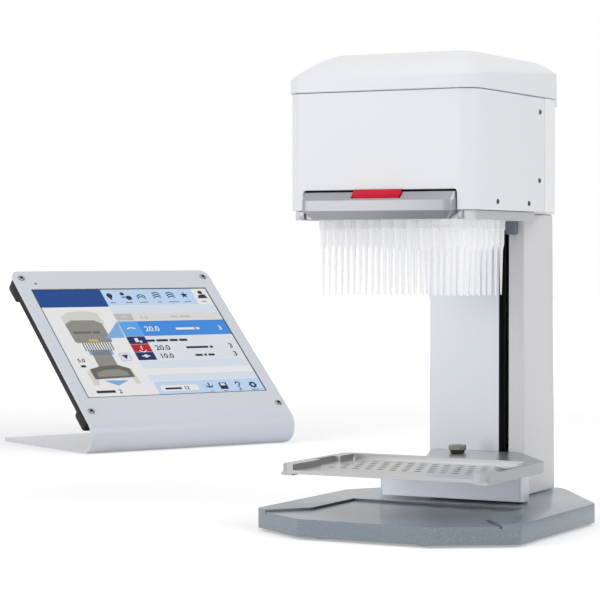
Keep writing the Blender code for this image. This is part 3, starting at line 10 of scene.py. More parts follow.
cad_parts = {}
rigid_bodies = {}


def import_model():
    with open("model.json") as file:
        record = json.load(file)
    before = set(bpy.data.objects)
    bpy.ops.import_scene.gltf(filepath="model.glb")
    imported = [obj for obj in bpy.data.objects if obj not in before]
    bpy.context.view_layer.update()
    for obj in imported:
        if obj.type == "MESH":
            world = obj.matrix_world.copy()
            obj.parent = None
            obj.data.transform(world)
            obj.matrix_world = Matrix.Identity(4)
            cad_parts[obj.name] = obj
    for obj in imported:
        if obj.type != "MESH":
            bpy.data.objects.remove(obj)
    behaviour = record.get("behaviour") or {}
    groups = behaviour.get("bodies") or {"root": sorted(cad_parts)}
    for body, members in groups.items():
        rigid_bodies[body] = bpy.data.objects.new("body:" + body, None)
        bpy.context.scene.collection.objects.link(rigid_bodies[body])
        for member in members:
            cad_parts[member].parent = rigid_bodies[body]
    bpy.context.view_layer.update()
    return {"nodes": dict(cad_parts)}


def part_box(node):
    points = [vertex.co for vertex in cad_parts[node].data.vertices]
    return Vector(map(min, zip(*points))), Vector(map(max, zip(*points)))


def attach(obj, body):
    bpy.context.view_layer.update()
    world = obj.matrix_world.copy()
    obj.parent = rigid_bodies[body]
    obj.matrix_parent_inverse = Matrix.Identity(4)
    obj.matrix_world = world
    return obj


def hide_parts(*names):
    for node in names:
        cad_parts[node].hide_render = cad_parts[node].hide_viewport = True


MM = 0.001

# Camera, found from the tips' pitch and the corners of base, stage, head and lid
CAMERA_PLACE = (629.85, -1334.68, 185.02)
CAMERA_YAW = math.radians(28.129)
CAMERA_DOWN = math.radians(1.28)
FOCAL_LENGTH = 134.76

# Tips
PITCH = 9.0
COLUMNS = 12
ROWS = 8
TIP_END_Z = 155.5

# Console panel
CONSOLE_PLACE = (-454.0, 469.0, 0.0)
CONSOLE_TURN = math.radians(62.4)
CONSOLE_TILT = math.radians(49.0)
CONSOLE_BEND_R = 16.2
DISPLAY_Z = -0.7
DISPLAY_LEFT = -97.6
DISPLAY_RIGHT = 97.6
DISPLAY_LOW = 32.4
DISPLAY_HIGH = 180.6
DISPLAY_RIM = 0.6
LIST_LEFT = -23.4
DISPLAY_GLOW = 0.42
DISPLAY_BASE_SHARE = 0.5
INK_GAP = 0.02
INK_THICK = 0.04
INK_STEP = 0.05
ARC_STEPS = 12
CONSOLE_SCREWS = ((-102.5, 14.5), (102.5, 14.5), (-102.5, 197.0), (102.5, 197.0))
CONSOLE_SCREW_RADIUS = 3.5
LIGHT_SENSOR = (-90.0, 189.0, 0.0)

# Head and lid
CASE_HALF = 67.0
CASE_FRONT = -50.5
SIDE_END = 82.2
TAIL_HALF = 37.0
TAIL_Y = 136.0
TAIL_REAR = 163.0
CASE_CORNER = 11.5
LID_OVERHANG = 1.2
LID_FRONT = CASE_FRONT - LID_OVERHANG
LID_REAR = TAIL_REAR + LID_OVERHANG
LID_LOW = 286.3
LID_TOP = 312.8
LID_BAND = 8.9
LID_SLOPE = 0.078
LID_FLAT_Y = 55.0
LID_SIDE_R = 3.0
LID_TAIL_R = 7.2
LID_WALL = 2.5
TOP_SHARE = 0.68
TOP_FRONT = -18.0
TOP_REAR = 150.0
LID_INWARDS = (0.0, 0.03, 0.3, 0.62, 0.88, 1.0)
LID_UPWARDS = (0.0, 0.07, 0.42, 0.75, 0.95, 1.0)
LID_CAP_SHARES = (0.85, 0.6, 0.3)
LID_BAND_ROWS = 7
LID_DOME_ROWS = 24
LID_SOFTENING = 6
HEAD_SCREW_RADIUS = 1.7
CASING_SCREWS = ((55.5, 276.3), (54.5, 230.9), (-15.5, 215.8), (36.5, 215.4))
COVER_SCREWS = ((-26, 276), (-26, 218), (26, 218))

# Drawer's mouth, with a black sheet of painted shade in its slit, and latch
SHADE_SHEET_HALF = 53.8
SHADE_SHEET_FRONT = -45.6
SHADE_SHEET_REAR = -44.4
SHADE_SHEET_LOW = 219.0
SHADE_SHEET_HIGH = 229.0
BUTTON_RISE = 0.7
BUTTON_BORE_R = 1.35
BUTTON_BORE_DEPTH = 2.8
SOLID_BORE_REACH = 1.7

# Column, stage and knob
# A thin black sheet of painted shade on the panel's edge inside the slot
SLOT_SHADE_THICK = 0.12
SLOT_SHADE_FRONT = 0.4
SLOT_SHADE_REAR = 7.0
SLOT_SHADE_MARGIN = 0.5
SHEET_THICK = 0.4
SHEET_EDGE = 0.1
HOLE_SHADE_MARGIN = 0.2
HOLE_COLUMNS = 12
HOLE_ROWS = 5
HOLE_BORDER = 2.5
HOLE_HALF_X = 2.6
HOLE_HALF_Y = 3.2
HOLE_POINTS = 12
KNOB_HEAD = 3.4
KNOB_NECK = 2.2
KNOB_KNURL = 0.05
RACK_DECK = 8.0
TIP_RIB_SHARE = 0.09

# Studio
FLOOR_SIZE = 6.0
FLOOR_DROP = 0.0003
FLOOR_GLOW = 0.36
FLOOR_NEAR = 0.7
FAR_GLOW = 0.8
FLOOR_FAR = 2.4
WORLD_LIGHT = 0.38
WALL_LIGHT = 0.95
DARK_WALL = (0.9, 0.43, 0.0)
WALL_STARTS = 0.3
WALL_DARKEST = 0.75
LAMPS = (
    ("key", (-1500.0, -2300.0, 1200.0), (0.0, 0.0, 180.0), 2.2, 34.0),
    ("fill", (2100.0, -200.0, 1500.0), (0.0, 0.0, 180.0), 1.8, 26.0),
    ("top", (-300.0, 200.0, 2600.0), (-200.0, 200.0, 0.0), 2.2, 9.0),
)

for startup in list(bpy.data.objects):
    bpy.data.objects.remove(startup)

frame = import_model()
rack_low, rack_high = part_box("tip_rack")
ORIGIN = Vector(((rack_low.x + rack_high.x) / 2, (rack_low.y + rack_high.y) / 2, 0.0))
scene = bpy.context.scene


def spot(x, y, z=0.0):
    """A place in the unit's own millimetres, whose zero is on the bench under the tip array."""
    return ORIGIN + Vector((x, y, z)) * MM


def socket(tree, name, kind, way, default=None):
    made = tree.interface.new_socket(name=name, in_out=way, socket_type=kind)
    if default is not None:
        made.default_value = default


def effect_group(name, inputs, outputs):
    """An empty node group with its sockets; returns the group and its two end nodes."""
    tree = bpy.data.node_groups.new(name, "ShaderNodeTree")
    for label, kind, default in inputs:
        socket(tree, label, kind, "INPUT", default)
    for label, kind in outputs:
        socket(tree, label, kind, "OUTPUT")
    return tree, tree.nodes.new("NodeGroupInput"), tree.nodes.new("NodeGroupOutput")


def math_node(tree, operation, first, second):
    node = tree.nodes.new("ShaderNodeMath")
    node.operation = operation
    for slot, value in zip(node.inputs, (first, second)):
        if isinstance(value, (int, float)):
            slot.default_value = value
        else:
            tree.links.new(value, slot)
    return node.outputs[0]


def noise_node(tree, vector, scale, detail=2.0, roughness=0.5):
    node = tree.nodes.new("ShaderNodeTexNoise")
    node.inputs["Detail"].default_value = detail
    node.inputs["Roughness"].default_value = roughness
    tree.links.new(vector, node.inputs["Vector"])
    if isinstance(scale, (int, float)):
        node.inputs["Scale"].default_value = scale
    else:
        tree.links.new(scale, node.inputs["Scale"])
    return node.outputs["Fac"]


def shade_of(tree, colour, amount):
    """A colour made lighter or darker by a changing amount."""
    node = tree.nodes.new("ShaderNodeVectorMath")
    node.operation = "SCALE"
    tree.links.new(colour, node.inputs[0])
    tree.links.new(amount, node.inputs["Scale"])
    return node.outputs["Vector"]


def object_space(tree):
    return tree.nodes.new("ShaderNodeTexCoord").outputs["Object"]


def make_enamel_group():
    """Sprayed paint: a fine orange-peel skin over slow changes of tone."""
    tree, given, result = effect_group(
        "sprayed enamel",
        [
            ("Colour", "NodeSocketColor", (0.8, 0.8, 0.8, 1.0)),
            ("Peel Size", "NodeSocketFloat", 900.0),
            ("Tone Change", "NodeSocketFloat", 0.02),
            ("Roughness", "NodeSocketFloat", 0.4),
        ],
        [
            ("Colour", "NodeSocketColor"),
            ("Roughness", "NodeSocketFloat"),
            ("Height", "NodeSocketFloat"),
        ],
    )
    place = object_space(tree)
    slow = noise_node(tree, place, 9.0, 3.0)
    offset = math_node(tree, "SUBTRACT", slow, 0.5)
    swing = math_node(tree, "MULTIPLY", offset, given.outputs["Tone Change"])
    tone = math_node(tree, "ADD", swing, 1.0)
    peel = noise_node(tree, place, given.outputs["Peel Size"], 2.0)
    dull = math_node(tree, "MULTIPLY", math_node(tree, "SUBTRACT", peel, 0.5), 0.08)
    links = tree.links
    links.new(shade_of(tree, given.outputs["Colour"], tone), result.inputs["Colour"])
    links.new(math_node(tree, "ADD", given.outputs["Roughness"], dull), result.inputs["Roughness"])
    links.new(peel, result.inputs["Height"])
    return tree


def make_brush_group():
    """Brushed or ground metal: fine lines along one direction, set by how space is stretched."""
    tree, given, result = effect_group(
        "brushed metal",
        [
            ("Colour", "NodeSocketColor", (0.6, 0.6, 0.6, 1.0)),
            ("Stretch", "NodeSocketVector", (40.0, 2500.0, 2500.0)),
            ("Line Contrast", "NodeSocketFloat", 0.15),
            ("Roughness", "NodeSocketFloat", 0.35),
        ],
        [
            ("Colour", "NodeSocketColor"),
            ("Roughness", "NodeSocketFloat"),
            ("Height", "NodeSocketFloat"),
        ],
    )
    stretch = tree.nodes.new("ShaderNodeVectorMath")
    stretch.operation = "MULTIPLY"
    tree.links.new(object_space(tree), stretch.inputs[0])
    tree.links.new(given.outputs["Stretch"], stretch.inputs[1])
    lines = noise_node(tree, stretch.outputs["Vector"], 1.0, 4.0, 0.65)
    offset = math_node(tree, "SUBTRACT", lines, 0.5)
    swing = math_node(tree, "MULTIPLY", offset, given.outputs["Line Contrast"])
    tone = math_node(tree, "ADD", swing, 1.0)
    links = tree.links
    links.new(shade_of(tree, given.outputs["Colour"], tone), result.inputs["Colour"])
    links.new(math_node(tree, "ADD", given.outputs["Roughness"], swing), result.inputs["Roughness"])
    links.new(lines, result.inputs["Height"])
    return tree


def make_speckle_group():
    """Textured stone-effect paint: a grainy skin with dark and light flecks."""
    tree, given, result = effect_group(
        "speckled paint",
        [
            ("Colour", "NodeSocketColor", (0.3, 0.32, 0.34, 1.0)),
            ("Light Fleck", "NodeSocketColor", (0.6, 0.62, 0.64, 1.0)),
            ("Dark Fleck", "NodeSocketColor", (0.1, 0.11, 0.12, 1.0)),
            ("Fleck Size", "NodeSocketFloat", 900.0),
        ],
        [("Colour", "NodeSocketColor"), ("Height", "NodeSocketFloat")],
    )
    place = object_space(tree)
    fine = noise_node(tree, place, given.outputs["Fleck Size"], 2.0, 0.7)
    coarse_scale = math_node(tree, "MULTIPLY", given.outputs["Fleck Size"], 0.55)
    coarse = noise_node(tree, place, coarse_scale, 1.0, 0.6)
    colour = given.outputs["Colour"]
    for field, edge, fleck in ((fine, 0.58, "Light Fleck"), (coarse, 0.62, "Dark Fleck")):
        ramp = tree.nodes.new("ShaderNodeMapRange")
        ramp.inputs["From Min"].default_value = edge
        ramp.inputs["From Max"].default_value = edge + 0.1
        tree.links.new(field, ramp.inputs["Value"])
        mix = tree.nodes.new("ShaderNodeMix")
        mix.data_type = "RGBA"
        tree.links.new(ramp.outputs["Result"], mix.inputs["Factor"])
        tree.links.new(colour, mix.inputs["A"])
        tree.links.new(given.outputs[fleck], mix.inputs["B"])
        colour = mix.outputs["Result"]
    tree.links.new(colour, result.inputs["Colour"])
    tree.links.new(fine, result.inputs["Height"])
    return tree


ENAMEL = make_enamel_group()
BRUSHED = make_brush_group()
SPECKLED = make_speckle_group()


def blank_material(name, roughness, metallic=0.0):
    made = bpy.data.materials.new(name)
    made.use_nodes = True
    shader = made.node_tree.nodes["Principled BSDF"]
    shader.inputs["Roughness"].default_value = roughness
    shader.inputs["Metallic"].default_value = metallic
    return made, shader


def set_effect(material, shader, group, values, bump, depth=0.00002):
    """Places a node group before the shader, with this material's own values."""
    tree = material.node_tree
    node = tree.nodes.new("ShaderNodeGroup")
    node.node_tree = group
    for label, value in values.items():
        node.inputs[label].default_value = value
    tree.links.new(node.outputs["Colour"], shader.inputs["Base Color"])
    if "Roughness" in node.outputs:
        tree.links.new(node.outputs["Roughness"], shader.inputs["Roughness"])
    relief = tree.nodes.new("ShaderNodeBump")
    relief.inputs["Strength"].default_value = bump
    relief.inputs["Distance"].default_value = depth
    tree.links.new(node.outputs["Height"], relief.inputs["Height"])
    tree.links.new(relief.outputs["Normal"], shader.inputs["Normal"])
    return material


def enamel(name, colour, roughness=0.38, peel=900.0, change=0.03, bump=0.25, coat=0.0, gloss=0.5):
    made, shader = blank_material(name, roughness)
    shader.inputs["Specular IOR Level"].default_value = gloss
    shader.inputs["Coat Weight"].default_value = coat
    shader.inputs["Coat Roughness"].default_value = 0.2
    values = {
        "Colour": (*colour, 1.0),
        "Peel Size": peel,
        "Tone Change": change,
        "Roughness": roughness,
    }
    return set_effect(made, shader, ENAMEL, values, bump)


def metal(name, colour, roughness, stretch, metallic=1.0, contrast=0.15, bump=0.15):
    made, shader = blank_material(name, roughness, metallic)
    values = {
        "Colour": (*colour, 1.0),
        "Stretch": stretch,
        "Line Contrast": contrast,
        "Roughness": roughness,
    }
    return set_effect(made, shader, BRUSHED, values, bump)


ALONG_X = (60.0, 2600.0, 2600.0)
ALONG_Z = (2600.0, 2600.0, 60.0)
EVEN = (1500.0, 1500.0, 1500.0)

WHITE = enamel("head white", (0.86, 0.87, 0.905), 0.36, 1100.0, 0.015, 0.12)
COVER_WHITE = enamel("rear cover white", (0.93, 0.945, 0.965), 0.36, 1100.0, 0.015, 0.12)
SIDE_WHITE = enamel("column side white", (0.73, 0.73, 0.74), 0.42, 1000.0, 0.02, 0.12)
PANEL = metal("column panel", (0.63, 0.65, 0.70), 0.36, ALONG_Z, 0.3, 0.05, 0.06)
LAVENDER = enamel("console paint", (0.70, 0.73, 0.80), 0.36, 1200.0, 0.02, 0.12, 0.6)
STAGE_METAL = metal("stage metal", (0.41, 0.415, 0.42), 0.30, EVEN, 0.8, 0.06, 0.06)
INSERT_METAL = metal("insert metal", (0.44, 0.44, 0.45), 0.30, EVEN, 0.7, 0.06, 0.06)
# Painted shade: the dark block seen through the insert's holes
INSERT_SHADE = metal("insert painted hole shade", (0.13, 0.13, 0.135), 0.45, EVEN, 0.5, 0.06, 0.06)
PLATE_METAL = metal("plate metal", (0.63, 0.64, 0.66), 0.34, ALONG_X, 0.6, 0.08, 0.08)
HANDLE_METAL = metal("handle metal", (0.36, 0.365, 0.385), 0.32, ALONG_X, 0.6, 0.08, 0.08)
BRACKET_METAL = metal("bracket metal", (0.68, 0.72, 0.79), 0.40, ALONG_X, 0.7, 0.16, 0.12)
STEEL = metal("ground steel", (0.58, 0.58, 0.59), 0.22, ALONG_Z, 1.0, 0.12, 0.1)
DARK_STEEL = metal("blackened steel", (0.10, 0.10, 0.11), 0.35, EVEN, 0.8, 0.2, 0.15)
SCREW_STEEL = metal("screw steel", (0.30, 0.30, 0.31), 0.32, EVEN, 0.9, 0.2, 0.1)
KNOB_METAL = metal("knob metal", (0.235, 0.235, 0.22), 0.34, ALONG_Z, 0.9, 0.2, 0.15)
BRONZE = metal("bronze", (0.58, 0.38, 0.16), 0.35, ALONG_Z, 1.0, 0.15, 0.1)
BLACK = enamel("black plastic", (0.012, 0.012, 0.014), 0.6, 1600.0, 0.2, 0.3, 0.0, 0.3)
DARK = enamel("slate plastic", (0.145, 0.172, 0.19), 0.5, 1500.0, 0.1, 0.3)
RUBBER = enamel("rubber", (0.025, 0.025, 0.026), 0.8, 1800.0, 0.2, 0.5)
RED = enamel("red plastic", (0.66, 0.006, 0.035), 0.46, 1500.0, 0.03, 0.05, 0.0, 0.16)
GREEN = enamel("board green", (0.02, 0.16, 0.08), 0.45, 700.0, 0.6, 0.3)


def make_base_paint():
    made, shader = blank_material("base stone paint", 0.34)
    shader.inputs["Coat Weight"].default_value = 0.4
    shader.inputs["Coat Roughness"].default_value = 0.16
    values = {
        "Colour": (0.205, 0.255, 0.295, 1.0),
        "Light Fleck": (0.40, 0.46, 0.50, 1.0),
        "Dark Fleck": (0.17, 0.21, 0.24, 1.0),
        "Fleck Size": 1500.0,
    }
    return set_effect(made, shader, SPECKLED, values, 0.35, 0.00003)


def make_tip_plastic():
    """Thin clear plastic, which shows more where it is seen edge on, with a faint painted glow."""
    made, shader = blank_material("clear polypropylene", 0.22)
    tree = made.node_tree
    facing = tree.nodes.new("ShaderNodeLayerWeight")
    facing.inputs["Blend"].default_value = 0.35
    ramp = tree.nodes.new("ShaderNodeMapRange")
    ramp.inputs["To Min"].default_value = 0.56
    ramp.inputs["To Max"].default_value = 0.93
    tree.links.new(facing.outputs["Facing"], ramp.inputs["Value"])
    tree.links.new(ramp.outputs["Result"], shader.inputs["Alpha"])
    # Painted glow: a faint white emission stands in for light scattered inside the clear tips.
    shader.inputs["Emission Color"].default_value = (1.0, 1.0, 1.0, 1.0)
    shader.inputs["Emission Strength"].default_value = 0.2
    values = {
        "Colour": (0.84, 0.845, 0.86, 1.0),
        "Peel Size": 1500.0,
        "Tone Change": 0.05,
        "Roughness": 0.22,
    }
    return set_effect(made, shader, ENAMEL, values, 0.05)


BASE_PAINT = make_base_paint()
CLEAR = make_tip_plastic()


def lit_colour(name, colour):
    """A patch of the lit display: plain colour that also shines, under a glossy cover."""
    made, shader = blank_material("display " + name, 0.12)
    shader.inputs["Specular IOR Level"].default_value = 0.2
    tree = made.node_tree
    node = tree.nodes.new("ShaderNodeGroup")
    node.node_tree = ENAMEL
    node.inputs["Colour"].default_value = (*(DISPLAY_BASE_SHARE * part for part in colour), 1.0)
    node.inputs["Peel Size"].default_value = 3000.0
    node.inputs["Tone Change"].default_value = 0.02
    node.inputs["Roughness"].default_value = 0.12
    tree.links.new(node.outputs["Colour"], shader.inputs["Base Color"])
    shader.inputs["Emission Color"].default_value = (*colour, 1.0)
    shader.inputs["Emission Strength"].default_value = DISPLAY_GLOW
    return made


LIT_NAVY = lit_colour("navy", (0.0, 0.062, 0.30))
LIT_BLUE = lit_colour("blue", (0.05, 0.28, 0.80))
LIT_MID_BLUE = lit_colour("mid blue", (0.11, 0.40, 0.88))
LIT_LIGHT_BLUE = lit_colour("light blue", (0.56, 0.74, 0.98))
LIT_SKY = lit_colour("sky", (0.22, 0.46, 0.78))
LIT_PALE = lit_colour("pale", (0.74, 0.82, 0.92))
LIT_ICE = lit_colour("ice", (0.80, 0.84, 0.89))
LIT_WHITE = lit_colour("white", (0.90, 0.90, 0.90))
LIT_GREY = lit_colour("grey", (0.79, 0.78, 0.76))
LIT_FADED = lit_colour("faded", (0.56, 0.55, 0.54))
LIT_MID_GREY = lit_colour("mid grey", (0.30, 0.29, 0.27))
LIT_STONE = lit_colour("stone", (0.74, 0.71, 0.66))
LIT_DARK_GREY = lit_colour("dark grey", (0.15, 0.14, 0.125))
LIT_INK = lit_colour("ink", (0.01, 0.02, 0.06))
LIT_DEEP = lit_colour("deep navy", (0.005, 0.02, 0.13))
LIT_RED = lit_colour("red", (0.52, 0.008, 0.02))
LIT_YELLOW = lit_colour("yellow", (0.72, 0.50, 0.10))


def smooth_by_angle(mesh, degrees=34.0):
    mesh.shade_smooth()
    mesh.set_sharp_from_angle(angle=math.radians(degrees))


def new_piece(name, mesh, material, body):
    """A piece that stays where its mesh is and rides on a body."""
    made = bpy.data.objects.new(name, mesh)
    scene.collection.objects.link(made)
    mesh.materials.clear()
    mesh.materials.append(material)
    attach(made, body)
    return made


def mesh_from(shape, name):
    bmesh.ops.recalc_face_normals(shape, faces=shape.faces)
    mesh = bpy.data.meshes.new(name)
    shape.to_mesh(mesh)
    shape.free()
    return mesh


def final_mesh(made, *helpers):
    """The mesh of an object with its modifiers applied; it and its helpers are removed."""
    for raw in (made, *helpers):
        scene.collection.objects.link(raw)
    bpy.context.view_layer.update()
    graph = bpy.context.evaluated_depsgraph_get()
    mesh = bpy.data.meshes.new_from_object(made.evaluated_get(graph))
    for raw in (made, *helpers):
        bpy.data.objects.remove(raw)
    return mesh


def box_mesh(name, low, high):
    """A plain box between two corners."""
    shape = bmesh.new()
    bmesh.ops.create_cube(shape, size=1.0)
    bmesh.ops.scale(shape, vec=high - low, verts=shape.verts)
    bmesh.ops.translate(shape, vec=(low + high) / 2, verts=shape.verts)
    return mesh_from(shape, name)


def round_edges(piece, width, segments=2):
    edges = piece.modifiers.new("edges", "BEVEL")
    edges.width = width * MM
    edges.segments = segments
    edges.limit_method = "ANGLE"
    edges.angle_limit = math.radians(32.0)
    edges.harden_normals = True


def dress(node, body, material, edge, segments=2):
    """A smooth piece from a CAD node: joined faces, rounded edges, soft shading on round parts."""
    shape = bmesh.new()
    shape.from_mesh(frame["nodes"][node].data)
    bmesh.ops.remove_doubles(shape, verts=shape.verts, dist=0.000002)
    bmesh.ops.dissolve_limit(
        shape, angle_limit=math.radians(0.6), verts=shape.verts, edges=shape.edges
    )
    mesh = mesh_from(shape, node + "_skin")
    smooth_by_angle(mesh)
    piece = new_piece(node + "_skin", mesh, material, body)
    round_edges(piece, edge, segments)
    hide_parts(node)
    return piece


def repaint(material, *nodes):
    """Gives CAD nodes that stay a better material."""
    for node in nodes:
        mesh = frame["nodes"][node].data
        mesh.materials.clear()
        mesh.materials.append(material)


def revolve(shape, profile, place, sides, rib_share=0.0):
    """Adds a closed turned body to a bmesh; marked rows have every other point pulled in."""
    rings = []
    for radius, height, *mark in profile:
        ring = []
        for i in range(sides):
            turn = 2 * math.pi * i / sides
            r = radius * (1 - rib_share) if mark and i % 2 else radius
            point = Vector((r * math.cos(turn), r * math.sin(turn), height))
            ring.append(shape.verts.new(place + point * MM))
        rings.append(ring)
    for above, below in zip(rings, rings[1:]):
        for i in range(sides):
            j = (i + 1) % sides
            shape.faces.new((above[i], above[j], below[j], below[i]))
    shape.faces.new(list(reversed(rings[0])))
    shape.faces.new(rings[-1])


def dress_structure():
    """Base, feet, column and the parts of the lift that show through the slot."""
    dress("base_plate", "instrument", BASE_PAINT, 0.5)
    for corner in ("front_left", "front_right", "rear_left", "rear_right"):
        repaint(RUBBER, "foot_" + corner)
    dress("column_shell", "instrument", SIDE_WHITE, 0.3)
    dress("column_front_panel", "instrument", PANEL, 0.6, 3)
    dress("slot_top_cap", "instrument", DARK, 0.4, 3)
    repaint(BLACK, "slot_seal_left", "slot_seal_right", "power_inlet")
    # Painted shade: a thin black sheet over the panel's edge inside the slot, where the slot is dark.
    low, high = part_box("column_front_panel")
    near = Vector((high.x, low.y + SLOT_SHADE_FRONT * MM, low.z + SLOT_SHADE_MARGIN * MM))
    far = Vector((high.x + SLOT_SHADE_THICK * MM, low.y + SLOT_SHADE_REAR * MM, high.z - SLOT_SHADE_MARGIN * MM))
    slot_shade_box = box_mesh("slot_shade_sheet", near, far)
    new_piece("slot_shade_sheet", slot_shade_box, BLACK, "instrument")
    repaint(STEEL, "guide_rod_left", "guide_rod_right", "screw_bearing", "lift_screw")
    repaint(STEEL, "screw_coupling", "piston_screw", "latch_spring")
    repaint(STEEL, "guide_post_1", "guide_post_2", "guide_post_3", "guide_post_4")
    repaint(DARK, "lift_motor", "piston_motor")
    repaint(BRONZE, "lift_nut", "piston_nut")
    repaint(BRACKET_METAL, "column_spine", "head_frame", "motor_plate")
    repaint(BRACKET_METAL, "lift_carriage", "cylinder_block", "piston_plate")
    repaint(GREEN, "control_board")
    repaint(RUBBER, "tip_gasket")


def make_insert():
    """The stage insert: a thin sheet with staggered oval holes over a dark block of painted shade that
    shows through them.
    """
    low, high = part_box("stage_insert")
    border = HOLE_BORDER * MM
    step_x = (high.x - low.x - 2 * border) / (HOLE_COLUMNS + 0.5)
    step_y = (high.y - low.y - 2 * border) / HOLE_ROWS
    curve = bpy.data.curves.new("insert_outline", "CURVE")
    curve.dimensions = "2D"
    curve.fill_mode = "BOTH"
    sheet_low = high.z - SHEET_THICK * MM
    curve.extrude = (high.z - sheet_low) / 2 - SHEET_EDGE * MM
    curve.bevel_depth = SHEET_EDGE * MM
    curve.bevel_resolution = 0

    def add_loop(points):
        spline = curve.splines.new("POLY")
        spline.points.add(len(points) - 1)
        spline.use_cyclic_u = True
        for target, (x, y) in zip(spline.points, points):
            target.co = (x, y, 0.0, 1.0)

    add_loop([(low.x, low.y), (high.x, low.y), (high.x, high.y), (low.x, high.y)])
    turns = [2 * math.pi * k / HOLE_POINTS for k in range(HOLE_POINTS)]
    oval = [(HOLE_HALF_X * MM * math.cos(t), HOLE_HALF_Y * MM * math.sin(t)) for t in turns]
    for row in range(HOLE_ROWS):
        y = low.y + border + (row + 0.5) * step_y
        for column in range(HOLE_COLUMNS):
            x = low.x + border + (column + 0.5 + 0.5 * (row % 2)) * step_x
            add_loop([(x + a, y + b) for a, b in oval])
    mesh = final_mesh(bpy.data.objects.new("insert_outline", curve))
    mesh.transform(Matrix.Translation((0.0, 0.0, (sheet_low + high.z) / 2)))
    shape = bmesh.new()
    shape.from_mesh(mesh)
    bmesh.ops.remove_doubles(shape, verts=shape.verts, dist=0.000002)
    piece = new_piece("insert_sheet", mesh_from(shape, "insert_sheet"), INSERT_METAL, "stage")
    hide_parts("stage_insert")
    # Painted shade: a dark block under the sheet darkens its holes.
    inset = HOLE_SHADE_MARGIN * MM
    near = Vector((low.x + inset, low.y + inset, low.z))
    far = Vector((high.x - inset, high.y - inset, sheet_low))
    hole_shade_box = box_mesh("insert_hole_shade", near, far)
    new_piece("insert_hole_shade", hole_shade_box, INSERT_SHADE, "stage")


def make_knob():
    """The thumb knob: a knurled head over a black washer, on a plain stem."""
    low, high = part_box("thumb_knob")
    place = Vector(((low.x + high.x) / 2, (low.y + high.y) / 2, 0.0))
    top = high.z / MM
    head_low = top - KNOB_HEAD
    neck_low = head_low - KNOB_NECK
    radius = (high.x - low.x) / 2 / MM
    shape = bmesh.new()
    profile = [
        (radius - 2.6, top - 0.7),
        (radius - 2.2, top),
        (radius - 0.5, top),
        (radius, top - 0.5, "knurl"),
        (radius, head_low + 0.5, "knurl"),
        (radius - 0.5, head_low),
        (2.0, head_low),
        (2.0, low.z / MM),
    ]
    revolve(shape, profile, place, 48, KNOB_KNURL)
    mesh = mesh_from(shape, "knob_head")
    smooth_by_angle(mesh, 25.0)
    head = new_piece("knob_head", mesh, KNOB_METAL, "knob")
    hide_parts("thumb_knob")
    shape = bmesh.new()
    profile = [
        (2.2, head_low - 0.05),
        (5.0, head_low - 0.05),
        (5.0, neck_low + 0.2),
        (4.6, neck_low),
        (2.2, neck_low),
    ]
    revolve(shape, profile, place, 40)
    mesh = mesh_from(shape, "knob_washer")
    smooth_by_angle(mesh, 25.0)
    new_piece("knob_washer", mesh, BLACK, "knob")


def dress_stage():
    dress("stage_plate", "stage", STAGE_METAL, 0.9, 3)
    dress("stage_bracket", "stage", BRACKET_METAL, 0.4)
    make_insert()
    make_knob()


def make_tips():
    """The rack's clear deck and its tips, each with a ribbed collar, a body and a fine stem."""
    low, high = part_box("tip_rack")
    deck_low = high.z - RACK_DECK * MM
    mesh = box_mesh("rack_deck", Vector((low.x, low.y, deck_low)), high)
    deck = new_piece("rack_deck", mesh, CLEAR, "drawer")
    round_edges(deck, 0.5)
    deck_z = deck_low / MM
    profile = [
        (2.95, deck_z - 0.05),
        (2.95, 203.4, "rib"),
        (2.8, 199.9, "rib"),
        (2.75, 199.7),
        (2.75, 198.4),
        (2.15, 198.0),
        (2.05, 189.2),
        (1.9, 188.6),
        (1.15, 184.4),
        (0.85, 170.0),
        (0.5, TIP_END_Z),
    ]
    shape = bmesh.new()
    for column in range(COLUMNS):
        for row in range(ROWS):
            x = (column - (COLUMNS - 1) / 2) * PITCH
            y = (row - (ROWS - 1) / 2) * PITCH
            revolve(shape, profile, spot(x, y), 16, TIP_RIB_SHARE)
    mesh = mesh_from(shape, "tips")
    smooth_by_angle(mesh, 40.0)
    tips = new_piece("tips", mesh, CLEAR, "drawer")
    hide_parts("tip_rack")


def catmull(values, t):
    """A smooth value through evenly numbered rows of control values."""
    i = min(int(t), len(values) - 2)
    f = t - i
    a = values[max(i - 1, 0)]
    b = values[i]
    c = values[i + 1]
    d = values[min(i + 2, len(values) - 1)]
    return b + 0.5 * f * (c - a + f * (2 * a - 5 * b + 4 * c - d + f * (3 * (b - c) + d - a)))


def rounded_outline(points, radii, segments=8):
    """A closed outline with an arc at each corner."""
    made = []
    count = len(points)
    for i, (x, y) in enumerate(points):
        corner = Vector((x, y))
        back = (Vector(points[i - 1]) - corner).normalized()
        ahead = (Vector(points[(i + 1) % count]) - corner).normalized()
        half = back.angle(ahead) / 2
        centre = corner + (back + ahead).normalized() * radii[i] / math.sin(half)
        start = corner + back * radii[i] / math.tan(half) - centre
        stop = corner + ahead * radii[i] / math.tan(half) - centre
        sweep = start.angle_signed(stop)
        for k in range(segments + 1):
            made.append(tuple(centre + Matrix.Rotation(-sweep * k / segments, 2) @ start))
    return made


def lid_band_top(y):
    """Where the lid's band ends, which rises to the rear up to a point."""
    return LID_LOW + LID_BAND + LID_SLOPE * (min(max(y, LID_FRONT), LID_FLAT_Y) - LID_FRONT)


